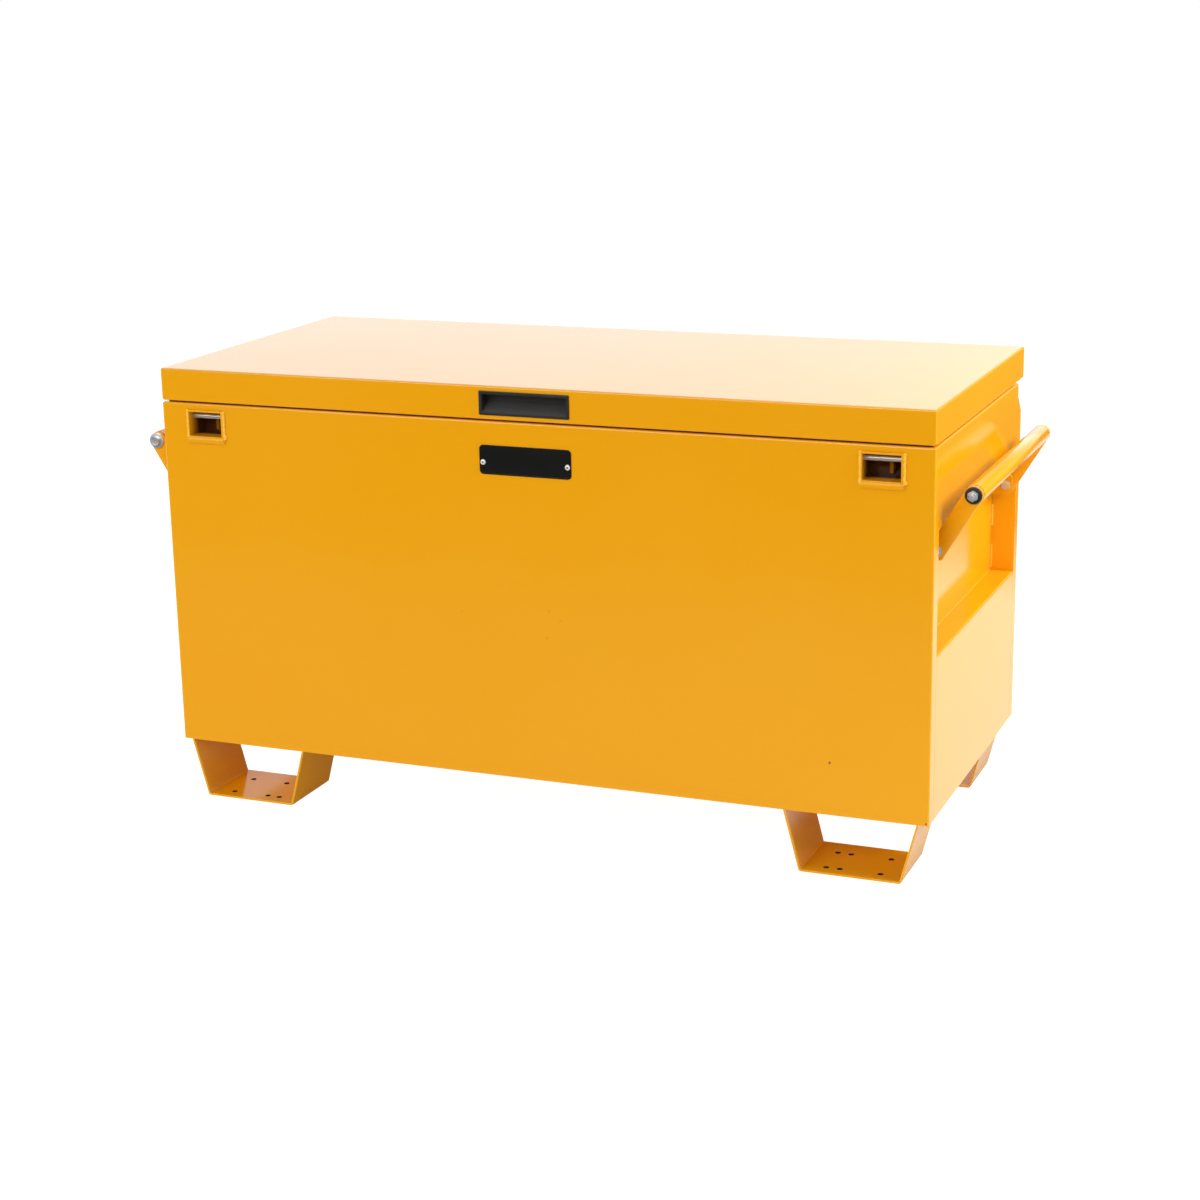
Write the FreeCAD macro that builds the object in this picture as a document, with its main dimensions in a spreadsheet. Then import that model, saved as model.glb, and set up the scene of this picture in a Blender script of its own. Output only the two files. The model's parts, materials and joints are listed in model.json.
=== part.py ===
import FreeCAD, Part
import os
import re
import Sketcher

# A sheet-steel storage box for building sites: a body of bent panels on four
# castor feet, a hinged lid on gas struts, folding side handles in recesses
# and two padlock pockets.  Millimetres.  X runs along the front, the front
# faces -Y, Z is up; the origin is under the middle of the box.

V = FreeCAD.Vector
doc = FreeCAD.newDocument("storage_box")
sheet = doc.addObject("Spreadsheet::Sheet", "sizes")

SIZES = {
    # the box
    "box_length": 1200,
    "lid_depth": 550,
    "back_overhang": 11,
    "foot_height": 91,
    "body_height": 537.5,
    "lid_gap": 2.5,
    "lid_skirt": 49,
    "lid_nick": 3,
    # the sheet and its bends
    "gauge": 2,
    "bend": 3,
    "corner_return": 24,
    "seam_gap": 0.8,
    "rim_flange": 18,
    "lid_flange": 14,
    "floor_lip": 12,
    # the back's notch and the side recesses
    "notch_depth": 24.5,
    "notch_drop": 21.5,
    "slant_drop": 48.2,
    "recess_drop": 116,
    "recess_tall": 180.5,
    "recess_deep": 36.5,
    # the feet
    "foot_gauge": 3,
    "foot_pad": 150,
    "foot_inset": 38.5,
    "foot_spread": 24,
    "foot_depth": 118,
    "castor_hole": 9,
    "castor_long": 80,
    "castor_wide": 60,
    "castor_edge": 20,
    "castor_side": 35,
    "foot_bend": 4,
    "drain_in": 4,
    "drain_up": 3,
    "drain_d": 2.4,
    # the padlock pockets
    "pocket_inset": 47,
    "pocket_wide": 55,
    "pocket_tall": 37,
    "pocket_drop": 12.5,
    "pocket_deep": 44,
    "pocket_wall": 3,
    "pocket_fit": 0.25,
    "frame_reach": 5,
    "frame_proud": 2.5,
    "lip_tall": 11,
    "lip_proud": 4,
    "lip_round": 2.2,
    "lip_step": 1.4,
    "bar_d": 8,
    "bar_fit": 0.6,
    "bar_drop": 21,
    "bar_back": 15,
    "bar_head": 12,
    "bar_end": 1,
    "bar_cap": 2.5,
    "tongue_thick": 5,
    "tongue_from": 35.4,
    "tongue_back": 21.5,
    "tongue_deep": 18.5,
    "tongue_clear": 5,
    "tongue_web": 14,
    "tongue_neck": 5,
    "tongue_round": 4,
    "slot_side": 1.5,
    "slot_front": 4.5,
    "slot_rear": 2,
    "shackle_d": 10.5,
    # the name plate and its rivets
    "plate_long": 143,
    "plate_tall": 43,
    "plate_drop": 34.6,
    "plate_gauge": 1.5,
    "plate_round": 6,
    "rivet_span": 132,
    "rivet_drop": 60,
    "rivet_head": 8.5,
    "rivet_d": 4,
    "rivet_tall": 1.6,
    # the pull handle
    "pull_long": 140,
    "pull_tall": 35,
    "pull_up": 6.7,
    "pull_rim": 5.2,
    "pull_wall": 2,
    "pull_deep": 19,
    "pull_proud": 1.6,
    "pull_round": 2,
    "pull_fit": 0.4,
    "scoop_edge": 2,
    "scoop_rise": 9,
    # the seal, rail and ribs under the lid
    "seal_wide": 7.5,
    "seal_tall": 2.2,
    "seal_edge": 8,
    "rail_in": 59,
    "rail_foot": 20,
    "rail_gap": 0.5,
    "rib_in": 300,
    "rib_wide": 60,
    "rib_crown": 28,
    "rib_tall": 20,
    "rib_gap": 2,
    "rib_start": 40,
    # the hinges
    "hinge_long": 110,
    "hinge_end": 170,
    "hinge_in": 27,
    "hinge_drop": 0.5,
    "barrel_r": 6.5,
    "barrel_gap": 0.8,
    "pin_d": 6,
    "pin_fit": 0.1,
    "pin_end": 1,
    "pin_head": 2,
    "pin_head_d": 9,
    "leaf": 3,
    "leaf_drop": 20.5,
    "finger_step": 1,
    "knuckle_gap": 0.4,
    # the folding side handles
    "pivot_inset": 8,
    "pivot_drop": 152.5,
    "arm_wide": 26,
    "arm_gauge": 6,
    "arm_reach": 95.4,
    "arm_lean": 31.4,
    "grip_d": 27,
    "grip_wall": 2.5,
    "grip_spare": 104,
    "plug_rim": 1.5,
    "plug_deep": 12,
    "plug_step": 1,
    "plug_fit": 0.25,
    "bolt_d": 8,
    "bolt_fit": 0.16,
    "bolt_spare": 2,
    "nut_across": 13,
    "nut_tall": 8,
    "head_tall": 5.3,
    "washer_d": 24,
    "washer_zinc": 2.5,
    "washer_black": 3,
    "pivot_washer": 1.6,
    "pivot_washer_d": 17,
    "pivot_bolt_d": 8,
    "pivot_across": 13,
    "pivot_nut_tall": 6.5,
    "pivot_head_tall": 5.3,
    "pivot_gap": 0.3,
    "tab_gauge": 5,
    "tab_spare": 0.5,
    "tab_tall": 32,
    "tab_round": 8,
    "tab_up": 1,
    "tab_proud": 1.5,
    # the gas struts
    "strut_inset": 52,
    "strut_in": 211,
    "strut_drop": 184.5,
    "strut_top_in": 114,
    "strut_top_drop": 29,
    "tube_d": 18,
    "tube_wall": 2,
    "rod_d": 8,
    "eye_d": 16,
    "eye_thick": 10,
    "eye_fit": 0.16,
    "eye_gap": 0.3,
    "eye_sink": 1,
    "tube_start": 12,
    "tube_long": 186,
    "tube_base": 4,
    "neck_long": 8,
    "neck_fit": 0.05,
    "piston_up": 14,
    "piston_long": 10,
    "stud_plate": 3,
    "stud_tip": 4,
    "stud_shoulder": 12,
    "clip_d": 13,
    "clip_gauge": 1.5,
    "bracket_long": 40,
    "bracket_tall": 50,
    "hanger_gap": 8,
    "hanger_foot": 17,
    "hanger_low": 8,
}

WORKED_OUT = """
side box_length/2
front lip_proud/2-lid_depth/2
lid_back front+lid_depth
back lid_back-back_overhang
mid_y (front+back)/2
hinge_y lid_back-hinge_in
rail_y lid_back-rail_in
strut_y lid_back-strut_in
strut_top_y lid_back-strut_top_in
rim foot_height+body_height
lid_low rim+lid_gap
lid_top lid_low+lid_skirt
hinge_pitch side-hinge_end
hinge_z rim-hinge_drop
leaf_edge hinge_y+barrel_r+barrel_gap
leaf_low rim-leaf_drop
rib_x side-rib_in
strut_x side-strut_inset
strut_z rim-strut_drop
strut_top_z lid_top-strut_top_drop
bend_in bend-gauge
notch back-notch_depth
notch_z rim-notch_drop
slant_z rim-slant_drop
slant_turn atan2(notch_depth;slant_drop-notch_drop)
slant_tuck gauge*tan(slant_turn/2)
seam_front front+corner_return
seam_back notch
inner side-recess_deep
recess_top rim-recess_drop
recess_low recess_top-recess_tall
pocket_top rim-pocket_drop
pocket_low pocket_top-pocket_tall
pocket_x side-pocket_inset-pocket_wide/2
pocket_end front+pocket_deep
bar_z rim-bar_drop
bar_y front+bar_back
tongue_y front+tongue_back
tongue_end tongue_y+tongue_deep
tongue_low pocket_low+tongue_clear
pivot_x side-pivot_inset
pivot_z rim-pivot_drop
grip_x pivot_x+arm_reach*sin(arm_lean)
grip_z pivot_z+arm_reach*cos(arm_lean)
grip_long back-front-grip_spare
grip_end grip_long/2
tab_out grip_end+tab_spare
arm_in grip_end+plug_rim
arm_out arm_in+arm_gauge
pull_low lid_low+pull_up
pull_top pull_low+pull_tall
eye_in strut_x-eye_thick/2
eye_out strut_x+eye_thick/2
strut_long sqrt((strut_top_y-strut_y)^2+(strut_top_z-strut_z)^2)
strut_lean atan2(strut_top_y-strut_y;strut_top_z-strut_z)
""".split("\n")[1:-1]

rows = [(alias, str(value)) for alias, value in SIZES.items()]
rows += [(line.split(" ", 1)[0], "=" + line.split(" ", 1)[1]) for line in WORKED_OUT]
NAMES = set(alias for alias, value in rows)
WORD = re.compile(r"[a-z_]+")
for row, (alias, value) in enumerate(rows, 1):
    sheet.set("A%d" % row, alias)
    sheet.set("B%d" % row, value)
    sheet.setAlias("B%d" % row, alias)
doc.recompute()


def full(text):
    """The expression with each size's name pointed at the sheet."""
    return WORD.sub(lambda m: "sizes." + m.group() if m.group() in NAMES else m.group(), text)


def num(alias):
    value = sheet.get(alias)
    return float(getattr(value, "Value", value))


def bind(thing, prop, text):
    thing.setExpression(prop, full(text))


def new(name):
    body = doc.addObject("PartDesign::Body", name)
    body.Label = name
    return body


def sketch(body, role, at):
    base = [o for o in body.Origin.OriginFeatures if o.Role == role + "_Plane"][0]
    out = body.newObject("Sketcher::SketchObject", body.Name + "_sketch")
    out.AttachmentSupport = [(base, "")]
    out.MapMode = "FlatFace"
    bind(out, "AttachmentOffset.Base.z", at)
    return out


SEED = 10.0  # how far out a sketch's lines start before its constraints are solved


def fix(out, kind, items, seed, text):
    index = out.addConstraint(Sketcher.Constraint(kind, *items, seed))
    bind(out, "Constraints[%d]" % index, text)


def loop(out, points):
    """A closed outline of straight lines, each corner bound to the sheet."""
    count = len(points)
    turn = FreeCAD.Rotation(V(0, 0, 1), 360.0 / count)
    seeds = [V(SEED, 0, 0)]
    while len(seeds) < count:
        seeds.append(turn.multVec(seeds[-1]))
    first = out.GeometryCount
    for i in range(count):
        out.addGeometry(Part.LineSegment(seeds[i], seeds[(i + 1) % count]), False)
    for i in range(count):
        out.addConstraint(Sketcher.Constraint("Coincident", first + i, 2, first + (i + 1) % count, 1))
    for i, (x, y) in enumerate(points):
        fix(out, "DistanceX", (-1, 1, first + i, 1), seeds[i].x, x)
        fix(out, "DistanceY", (-1, 1, first + i, 1), seeds[i].y, y)


def ring(out, x, y, size):
    index = out.addGeometry(Part.Circle(V(SEED, SEED, 0), V(0, 0, 1), SEED), False)
    fix(out, "DistanceX", (-1, 1, index, 3), SEED, x)
    fix(out, "DistanceY", (-1, 1, index, 3), SEED, y)
    fix(out, "Diameter", (index,), 2 * SEED, size)


def draw(out, shapes):
    for shape in shapes:
        if isinstance(shape, list):
            loop(out, shape)
        else:
            ring(out, *shape)
    doc.recompute()
    if out.solve() != 0:
        raise RuntimeError("open sketch in " + out.Name)


def slab(body, kind, role, low, high, shapes):
    out = sketch(body, role, "-(%s)" % high if role == "XZ" else low)
    draw(out, shapes)
    step = body.newObject("PartDesign::" + kind, body.Name + "_" + kind.lower())
    step.Profile = out
    bind(step, "Length", "(%s)-(%s)" % (high, low))
    if kind == "Pocket":
        step.Reversed = True
    step.Refine = True
    out.Visibility = False
    doc.recompute()
    return step


def pad(body, role, low, high, *shapes):
    return slab(body, "Pad", role, low, high, shapes)


def cut(body, role, low, high, *shapes):
    before = body.Shape.Volume
    step = slab(body, "Pocket", role, low, high, shapes)
    if body.Shape.Volume > before - 0.01:
        raise RuntimeError("nothing cut in " + step.Name)
    return step


def box(x0, x1, y0, y1):
    return [(x0, y0), (x1, y0), (x1, y1), (x0, y1)]


def hexagon(x, y, across):
    half = "(%s)/2" % across
    rise = half + "*tan(30)"
    spots = [("", "+1*"), (None, "+2*"), ("-", "+1*"), ("-", "-1*"), (None, "-2*"), ("", "-1*")]
    return [(x if s is None else "%s+(%s%s)" % (x, s, half), "%s%s%s" % (y, k, rise)) for s, k in spots]


def edges(body, spots):
    """Names of the straight edges whose middle lies at one of the spots."""
    found = []
    for i, edge in enumerate(body.Shape.Edges, 1):
        if edge.Degenerated or not isinstance(edge.Curve, Part.Line):
            continue
        mid = edge.valueAt((edge.FirstParameter + edge.LastParameter) / 2)
        for spot in spots:
            if all(w is None or abs(w - c) < 0.02 for w, c in zip(spot, mid)):
                found.append("Edge%d" % i)
                break
    return found


def soften(body, size, spots, kind="Fillet"):
    names = edges(body, spots)
    if not names:
        raise RuntimeError("no edges to round in " + body.Name)
    tip = body.Tip
    step = body.newObject("PartDesign::" + kind, body.Name + "_" + kind.lower())
    step.Base = (tip, names)
    bind(step, "Size" if kind == "Chamfer" else "Radius", size)
    body.Tip = step
    doc.recompute()
    if step.Shape.isNull():
        raise RuntimeError("rounding failed in %s at %s" % (body.Name, names))
    return step


def rims(body, test):
    """Names of the circular edges that pass the test of centre and radius."""
    found = []
    for i, edge in enumerate(body.Shape.Edges, 1):
        if edge.Degenerated or not isinstance(edge.Curve, Part.Circle):
            continue
        if test(edge.Curve.Center, edge.Curve.Radius):
            found.append("Edge%d" % i)
    return found


def axis(body, role):
    return [o for o in body.Origin.OriginFeatures if o.Role == role + "_Axis"][0]


def repeat(body, step, role, length, count):
    out = body.newObject("PartDesign::LinearPattern", body.Name + "_pattern")
    out.Originals = step if isinstance(step, list) else [step]
    out.Direction = (axis(body, role), [""])
    bind(out, "Length", length)
    out.Occurrences = count
    out.Refine = True
    body.Tip = out
    doc.recompute()
    return out


def twin(body, steps, role="YZ"):
    """Repeats the features on the other side of one of the body's planes."""
    out = body.newObject("PartDesign::Mirrored", body.Name + "_twin")
    out.Originals = steps
    base = [o for o in body.Origin.OriginFeatures if o.Role == role + "_Plane"][0]
    out.MirrorPlane = (base, [""])
    out.Refine = True
    body.Tip = out
    doc.recompute()
    return out


SIDES = (("right", ""), ("left", "-"))


def span(sign, near, far):
    """The two ends of a stretch along X, lower one first."""
    if sign:
        return "-(%s)" % far, "-(%s)" % near
    return near, far


def signed(sign, points):
    return [("%s(%s)" % (sign, x), y) for x, y in points]


# ------------------------------------------------------------------ panels
side, front, rim = num("side"), num("front"), num("rim")
gauge = num("gauge")

front_panel = new("front_panel")
wall = [("front", "foot_height"), ("front+gauge", "foot_height"), ("front+gauge", "rim-gauge"),
        ("front+rim_flange", "rim-gauge"), ("front+rim_flange", "rim"), ("front", "rim")]
pad(front_panel, "YZ", "-side", "side", wall)
returns = [("front+gauge", "foot_height"), ("seam_front", "foot_height"), ("seam_front", "rim"),
           ("front+gauge", "rim")]
steps = [pad(front_panel, "YZ", "side-gauge", "side", returns)]
steps.append(pad(front_panel, "XY", "rim-gauge", "rim",
                 box("side-rim_flange", "side-gauge", "front+rim_flange", "seam_front")))
twin(front_panel, steps)
spots = [(s * side, front, None) for s in (1, -1)] + [(None, front, rim)]
spots += [(s * side, None, rim) for s in (1, -1)]
soften(front_panel, "bend", spots)
spots = [(s * (side - gauge), front + gauge, None) for s in (1, -1)]
soften(front_panel, "bend_in", spots + [(None, front + gauge, rim - gauge)])
reach = "pocket_wide/2+pocket_wall+pocket_fit"
for sign in ("", "-"):
    cut(front_panel, "XZ", "front", "front+gauge",
        box(sign + "pocket_x-(%s)" % reach, sign + "pocket_x+" + reach,
            "pocket_low-pocket_wall-pocket_fit", "pocket_top+pocket_wall+pocket_fit"))
cut(front_panel, "XZ", "front", "front+gauge",
    ("rivet_span/2", "rim-rivet_drop", "rivet_d+pocket_fit"),
    ("-rivet_span/2", "rim-rivet_drop", "rivet_d+pocket_fit"),
    ("side-drain_in", "foot_height+drain_up", "drain_d"))

back_panel = new("back_panel")
wall = [("back", "foot_height"), ("back", "slant_z"), ("notch", "notch_z"), ("notch", "rim"),
        ("notch-rim_flange", "rim"), ("notch-rim_flange", "rim-gauge"), ("notch-gauge", "rim-gauge"),
        ("notch-gauge", "notch_z-slant_tuck"), ("back-gauge", "slant_z-slant_tuck"),
        ("back-gauge", "foot_height")]
pad(back_panel, "YZ", "-side", "side", wall)
returns = [("notch", "foot_height"), ("back-gauge", "foot_height"), ("back-gauge", "slant_z"),
           ("notch", "notch_z-slant_tuck")]
twin(back_panel, [pad(back_panel, "YZ", "side-gauge", "side", returns)])
corner = [("notch-rim_flange", "slant_z"), ("notch", "slant_z"), ("notch", "rim+gauge"),
          ("notch-rim_flange", "rim+gauge")]
cut(back_panel, "YZ", "side-gauge", "side", corner)
cut(back_panel, "YZ", "-side", "gauge-side", corner)
ledge = box("notch-rim_flange", "notch", "rim-gauge", "rim")
cut(back_panel, "YZ", "side-rim_flange", "side-gauge", ledge)
cut(back_panel, "YZ", "gauge-side", "rim_flange-side", ledge)
back, notch = num("back"), num("notch")
soften(back_panel, "bend", [(s * side, back, None) for s in (1, -1)] + [(None, notch, rim)])

PATH = [("side-rim_flange", "rim"), ("side", "rim"), ("side", "recess_top"), ("inner", "recess_top"),
        ("inner", "recess_low"), ("side", "recess_low"), ("side", "foot_height"),
        ("side-gauge", "foot_height"), ("side-gauge", "recess_low-gauge"),
        ("inner-gauge", "recess_low-gauge"), ("inner-gauge", "recess_top+gauge"),
        ("side-gauge", "recess_top+gauge"), ("side-gauge", "rim-gauge"),
        ("side-rim_flange", "rim-gauge")]
inner, top, low = num("inner"), num("recess_top"), num("recess_low")
for word, sign in SIDES:
    s = -1 if sign else 1
    panel = new(word + "_side_panel")
    pad(panel, "XZ", "seam_front+seam_gap", "seam_back-seam_gap", signed(sign, PATH))
    wide = [(side, rim), (side, top), (side, low), (inner - gauge, low - gauge),
            (inner - gauge, top + gauge)]
    soften(panel, "bend", [(s * x, None, z) for x, z in wide])
    tight = [(side - gauge, rim - gauge), (side - gauge, top + gauge), (side - gauge, low - gauge),
             (inner, top), (inner, low)]
    soften(panel, "bend_in", [(s * x, None, z) for x, z in tight])
    ends = new(word + "_recess_ends")
    plate = signed(sign, box("inner-gauge", "side-gauge", "recess_low-gauge", "recess_top+gauge"))
    pad(ends, "XZ", "seam_front-gauge", "seam_front", plate)
    pad(ends, "XZ", "seam_back", "seam_back+gauge", plate)

floor_panel = new("floor_panel")
tray = box("gauge-side", "side-gauge", "front+gauge", "back-gauge")
pad(floor_panel, "XY", "foot_height", "foot_height+floor_lip", tray)
hollow = box("2*gauge-side", "side-2*gauge", "front+2*gauge", "back-2*gauge")
cut(floor_panel, "XY", "foot_height+gauge", "foot_height+floor_lip", hollow)

# -------------------------------------------------------------------- feet
out_low, out_top = "side-foot_inset", "side-foot_inset+foot_spread"
in_low, in_top = out_low + "-foot_pad", out_low + "-foot_pad-foot_spread"
skin = "foot_gauge*sqrt(foot_spread^2+foot_height^2)/foot_height"
tuck = "foot_gauge*foot_spread/foot_height"
CHANNEL = [(in_low, "0"), (out_low, "0"), (out_top, "foot_height"), (out_top + "-" + skin, "foot_height"),
           (out_low + "-%s+%s" % (skin, tuck), "foot_gauge"),
           (in_low + "+%s-%s" % (skin, tuck), "foot_gauge"), (in_top + "+" + skin, "foot_height"),
           (in_top, "foot_height")]
for end, y0, y1 in (("front", "front", "front+foot_depth"), ("rear", "back-foot_depth", "back")):
    for word, sign in SIDES:
        s = -1 if sign else 1
        foot = new("%s_%s_foot" % (end, word))
        pad(foot, "XZ", y0, y1, signed(sign, CHANNEL))
        low_x = num("side") - num("foot_inset")
        soften(foot, "foot_bend", [(s * low_x, None, 0), (s * (low_x - num("foot_pad")), None, 0)])
        edge = "front+castor_edge" if end == "front" else "back-castor_edge-castor_wide"
        cols = [out_low + "-castor_side", out_low + "-castor_side-castor_wide",
                out_low + "-castor_side-castor_long"]
        holes = cut(foot, "XY", "0", "foot_gauge",
                    *[("%s(%s)" % (sign, c), edge, "castor_hole") for c in cols])
        repeat(foot, holes, "Y", "castor_wide", 2)

# ------------------------------------------------------------ lock pockets
for word, sign in SIDES:
    case = new(word + "_lock_box")
    at = sign + "pocket_x"

    def across(extra):
        return "%s-(pocket_wide/2+%s)" % (at, extra), "%s+pocket_wide/2+%s" % (at, extra)

    outer = box(*across("pocket_wall"), "pocket_low-pocket_wall", "pocket_top+pocket_wall")
    hole = box(*across("0"), "pocket_low", "pocket_top")
    flange = box(*across("frame_reach"), "pocket_low-lip_tall", "pocket_top+pocket_wall")
    pad(case, "XZ", "front-frame_proud", "front", flange)
    lip_low, lip_top, lip_y = "pocket_low-lip_tall", "pocket_low-pocket_wall", "front-lip_proud"
    pad(case, "YZ", *across("frame_reach-lip_step"),
        [("front", lip_low), (lip_y + "+lip_round", lip_low), (lip_y, lip_low + "+lip_round"),
         (lip_y, lip_top + "-lip_step"), (lip_y + "+lip_step", lip_top), ("front", lip_top)])
    pad(case, "XZ", "front", "pocket_end+pocket_wall", outer)
    cut(case, "XZ", "front-lip_proud", "pocket_end", hole)
    slot_x = at + "-pocket_wide/2+tongue_from"
    cut(case, "XY", "pocket_top", "pocket_top+pocket_wall",
        box(slot_x + "-tongue_thick/2-slot_side", slot_x + "+tongue_thick/2+slot_side",
            "tongue_y-slot_front", "tongue_end+slot_rear"))
    wide = across("pocket_wall")
    cut(case, "YZ", wide[0], wide[1], ("bar_y", "bar_z", "bar_d+bar_fit"))
    s = -1 if sign else 1
    x0 = s * num("pocket_x")
    reach = num("pocket_wide") / 2 + num("frame_reach")
    low_z = num("pocket_low") - num("lip_tall")
    high_z = num("pocket_top") + num("pocket_wall")
    spots = [(x0 + k * reach, None, z) for k in (1, -1) for z in (low_z, high_z)]
    soften(case, "frame_proud", spots)
    bar = new(word + "_lock_bar")
    pad(bar, "YZ", wide[0] + "-bar_end", wide[1] + "+bar_end", ("bar_y", "bar_z", "bar_d"))
    pad(bar, "YZ", wide[0] + "-bar_cap", wide[0], ("bar_y", "bar_z", "bar_head"))
    pad(bar, "YZ", wide[1], wide[1] + "+bar_cap", ("bar_y", "bar_z", "bar_head"))

# -------------------------------------------------------------- name plate
name_plate = new("name_plate")
plate = box("-plate_long/2", "plate_long/2", "rim-plate_drop-plate_tall", "rim-plate_drop")
pad(name_plate, "XZ", "front-plate_gauge", "front", plate)
half, high = num("plate_long") / 2, rim - num("plate_drop")
soften(name_plate, "plate_round", [(k * half, None, z) for k in (1, -1)
                                   for z in (high, high - num("plate_tall"))])
cut(name_plate, "XZ", "front-plate_gauge", "front",
    ("rivet_span/2", "rim-rivet_drop", "rivet_d+pocket_fit"),
    ("-rivet_span/2", "rim-rivet_drop", "rivet_d+pocket_fit"))

name_plate_rivets = new("name_plate_rivets")
head = pad(name_plate_rivets, "XZ", "front-plate_gauge-rivet_tall", "front-plate_gauge",
           ("rivet_span/2", "rim-rivet_drop", "rivet_head"))
shank = pad(name_plate_rivets, "XZ", "front-plate_gauge", "front+2*gauge",
            ("rivet_span/2", "rim-rivet_drop", "rivet_d"))
twin(name_plate_rivets, [head, shank])

# -------------------------------------------------------------------- seal
rim_seal = new("rim_seal")
pad(rim_seal, "XY", "rim", "rim+seal_tall",
    box("seal_edge-side", "side-seal_edge", "front+seal_edge", "notch-seal_edge"),
    box("seal_edge+seal_wide-side", "side-seal_edge-seal_wide", "front+seal_edge+seal_wide",
        "notch-seal_edge-seal_wide"))

# --------------------------------------------------------------------- lid
lid_shell = new("lid_shell")
pad(lid_shell, "XY", "lid_low", "lid_top", box("-side", "side", "front", "lid_back"))
lid_low, lid_top, lid_back = num("lid_low"), num("lid_top"), num("lid_back")
spots = [(sx * side, y, None) for sx in (1, -1) for y in (front, lid_back)]
for z in (lid_low, lid_top):
    spots += [(sx * side, None, z) for sx in (1, -1)] + [(None, y, z) for y in (front, lid_back)]
soften(lid_shell, "bend", spots)
cut(lid_shell, "XY", "lid_low+gauge", "lid_top-gauge",
    box("gauge-side", "side-gauge", "front+gauge", "lid_back-gauge"))
cut(lid_shell, "XY", "lid_low", "lid_low+gauge",
    box("lid_flange+gauge-side", "side-lid_flange-gauge", "front+lid_flange+gauge",
        "leaf_edge"))
cut(lid_shell, "XZ", "front", "front+gauge",
    box("-(pull_long/2-pull_rim+pull_wall+pull_fit)", "pull_long/2-pull_rim+pull_wall+pull_fit",
        "pull_low+pull_rim-pull_wall-pull_fit", "pull_top-pull_rim+pull_wall+pull_fit"))

for word, sign in SIDES:
    corner = [("side-lid_nick", "lid_low"), ("side+bend", "lid_low"),
              ("side+bend", "lid_low+lid_nick+bend")]
    cut(lid_shell, "XZ", "front", "front+lid_nick", signed(sign, corner))

lid_rear_rail = new("lid_rear_rail")
pad(lid_rear_rail, "YZ", "lid_flange+gauge+rail_gap-side", "side-lid_flange-gauge-rail_gap",
    [("rail_y", "lid_low"), ("rail_y+rail_foot", "lid_low"), ("rail_y+rail_foot", "lid_low+gauge"),
     ("rail_y+gauge", "lid_low+gauge"), ("rail_y+gauge", "lid_top-gauge"), ("rail_y", "lid_top-gauge")])
soften(lid_rear_rail, "bend", [(None, num("rail_y"), lid_low)])

for word, at in (("left", "-rib_x"), ("middle", "0"), ("right", "rib_x")):
    rib = new("lid_rib_" + word)
    top, low = "lid_top-gauge", "lid_top-gauge-rib_tall"
    half, crown = "rib_wide/2", "rib_crown/2"
    right = [(half, top), (half, top + "-gauge"), (crown, top + "-gauge"), (crown, low)]
    left = [("-" + crown, low), ("-" + crown, top + "-gauge"), ("-" + half, top + "-gauge"),
            ("-" + half, top)]
    inside = [("gauge-" + crown, top), ("gauge-" + crown, low + "+gauge"),
              (crown + "-gauge", low + "+gauge"), (crown + "-gauge", top)]
    hat = [("%s+%s" % (at, x), z) for x, z in right + left + inside]
    start = "front+rib_start" if word == "middle" else "front+gauge+rib_gap"
    pad(rib, "XZ", start, "rail_y-rib_gap", hat)

pull_handle = new("pull_handle")
pad(pull_handle, "XZ", "front-pull_proud", "front",
    box("-pull_long/2", "pull_long/2", "pull_low", "pull_top"))
half = num("pull_long") / 2
soften(pull_handle, "pull_round", [(k * half, None, num(z)) for k in (1, -1)
                                   for z in ("pull_low", "pull_top")])
hole_x = "(pull_long/2-pull_rim)"
pad(pull_handle, "XZ", "front", "front+pull_deep+pull_wall",
    box("-%s-pull_wall" % hole_x, hole_x + "+pull_wall", "pull_low+pull_rim-pull_wall",
        "pull_top-pull_rim+pull_wall"))
scoop = [("front-2*pull_proud", "pull_low+pull_rim"), ("front+scoop_edge", "pull_low+pull_rim"),
         ("front+pull_deep", "pull_top-pull_rim-scoop_rise"), ("front+pull_deep", "pull_top-pull_rim"),
         ("front-2*pull_proud", "pull_top-pull_rim")]
cut(pull_handle, "YZ", "-" + hole_x, hole_x, scoop)

for word, sign in SIDES:
    tongue = new(word + "_lock_tongue")
    at = "%spocket_x-pocket_wide/2+tongue_from" % sign
    outline = [("front+gauge", "lid_top-gauge"), ("front+gauge", "lid_low+tongue_web"),
               ("tongue_y", "lid_low+tongue_neck"), ("tongue_y", "tongue_low"),
               ("tongue_end", "tongue_low"), ("tongue_end", "lid_top-gauge")]
    pad(tongue, "YZ", at + "-tongue_thick/2", at + "+tongue_thick/2", outline)
    low_z = num("tongue_low")
    soften(tongue, "tongue_round", [(None, num(y), low_z) for y in ("tongue_y", "tongue_end")])
    cut(tongue, "YZ", at + "-tongue_thick/2", at + "+tongue_thick/2",
        ("tongue_y+tongue_deep/2", "tongue_low+tongue_deep/2", "shackle_d"))

# ------------------------------------------------------------------ hinges
# Three knuckles to a hinge: the outer two on the body's leaf, the middle one on the lid's.
KNUCKLES = 3
knuckle = "hinge_long/%d" % KNUCKLES


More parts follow.
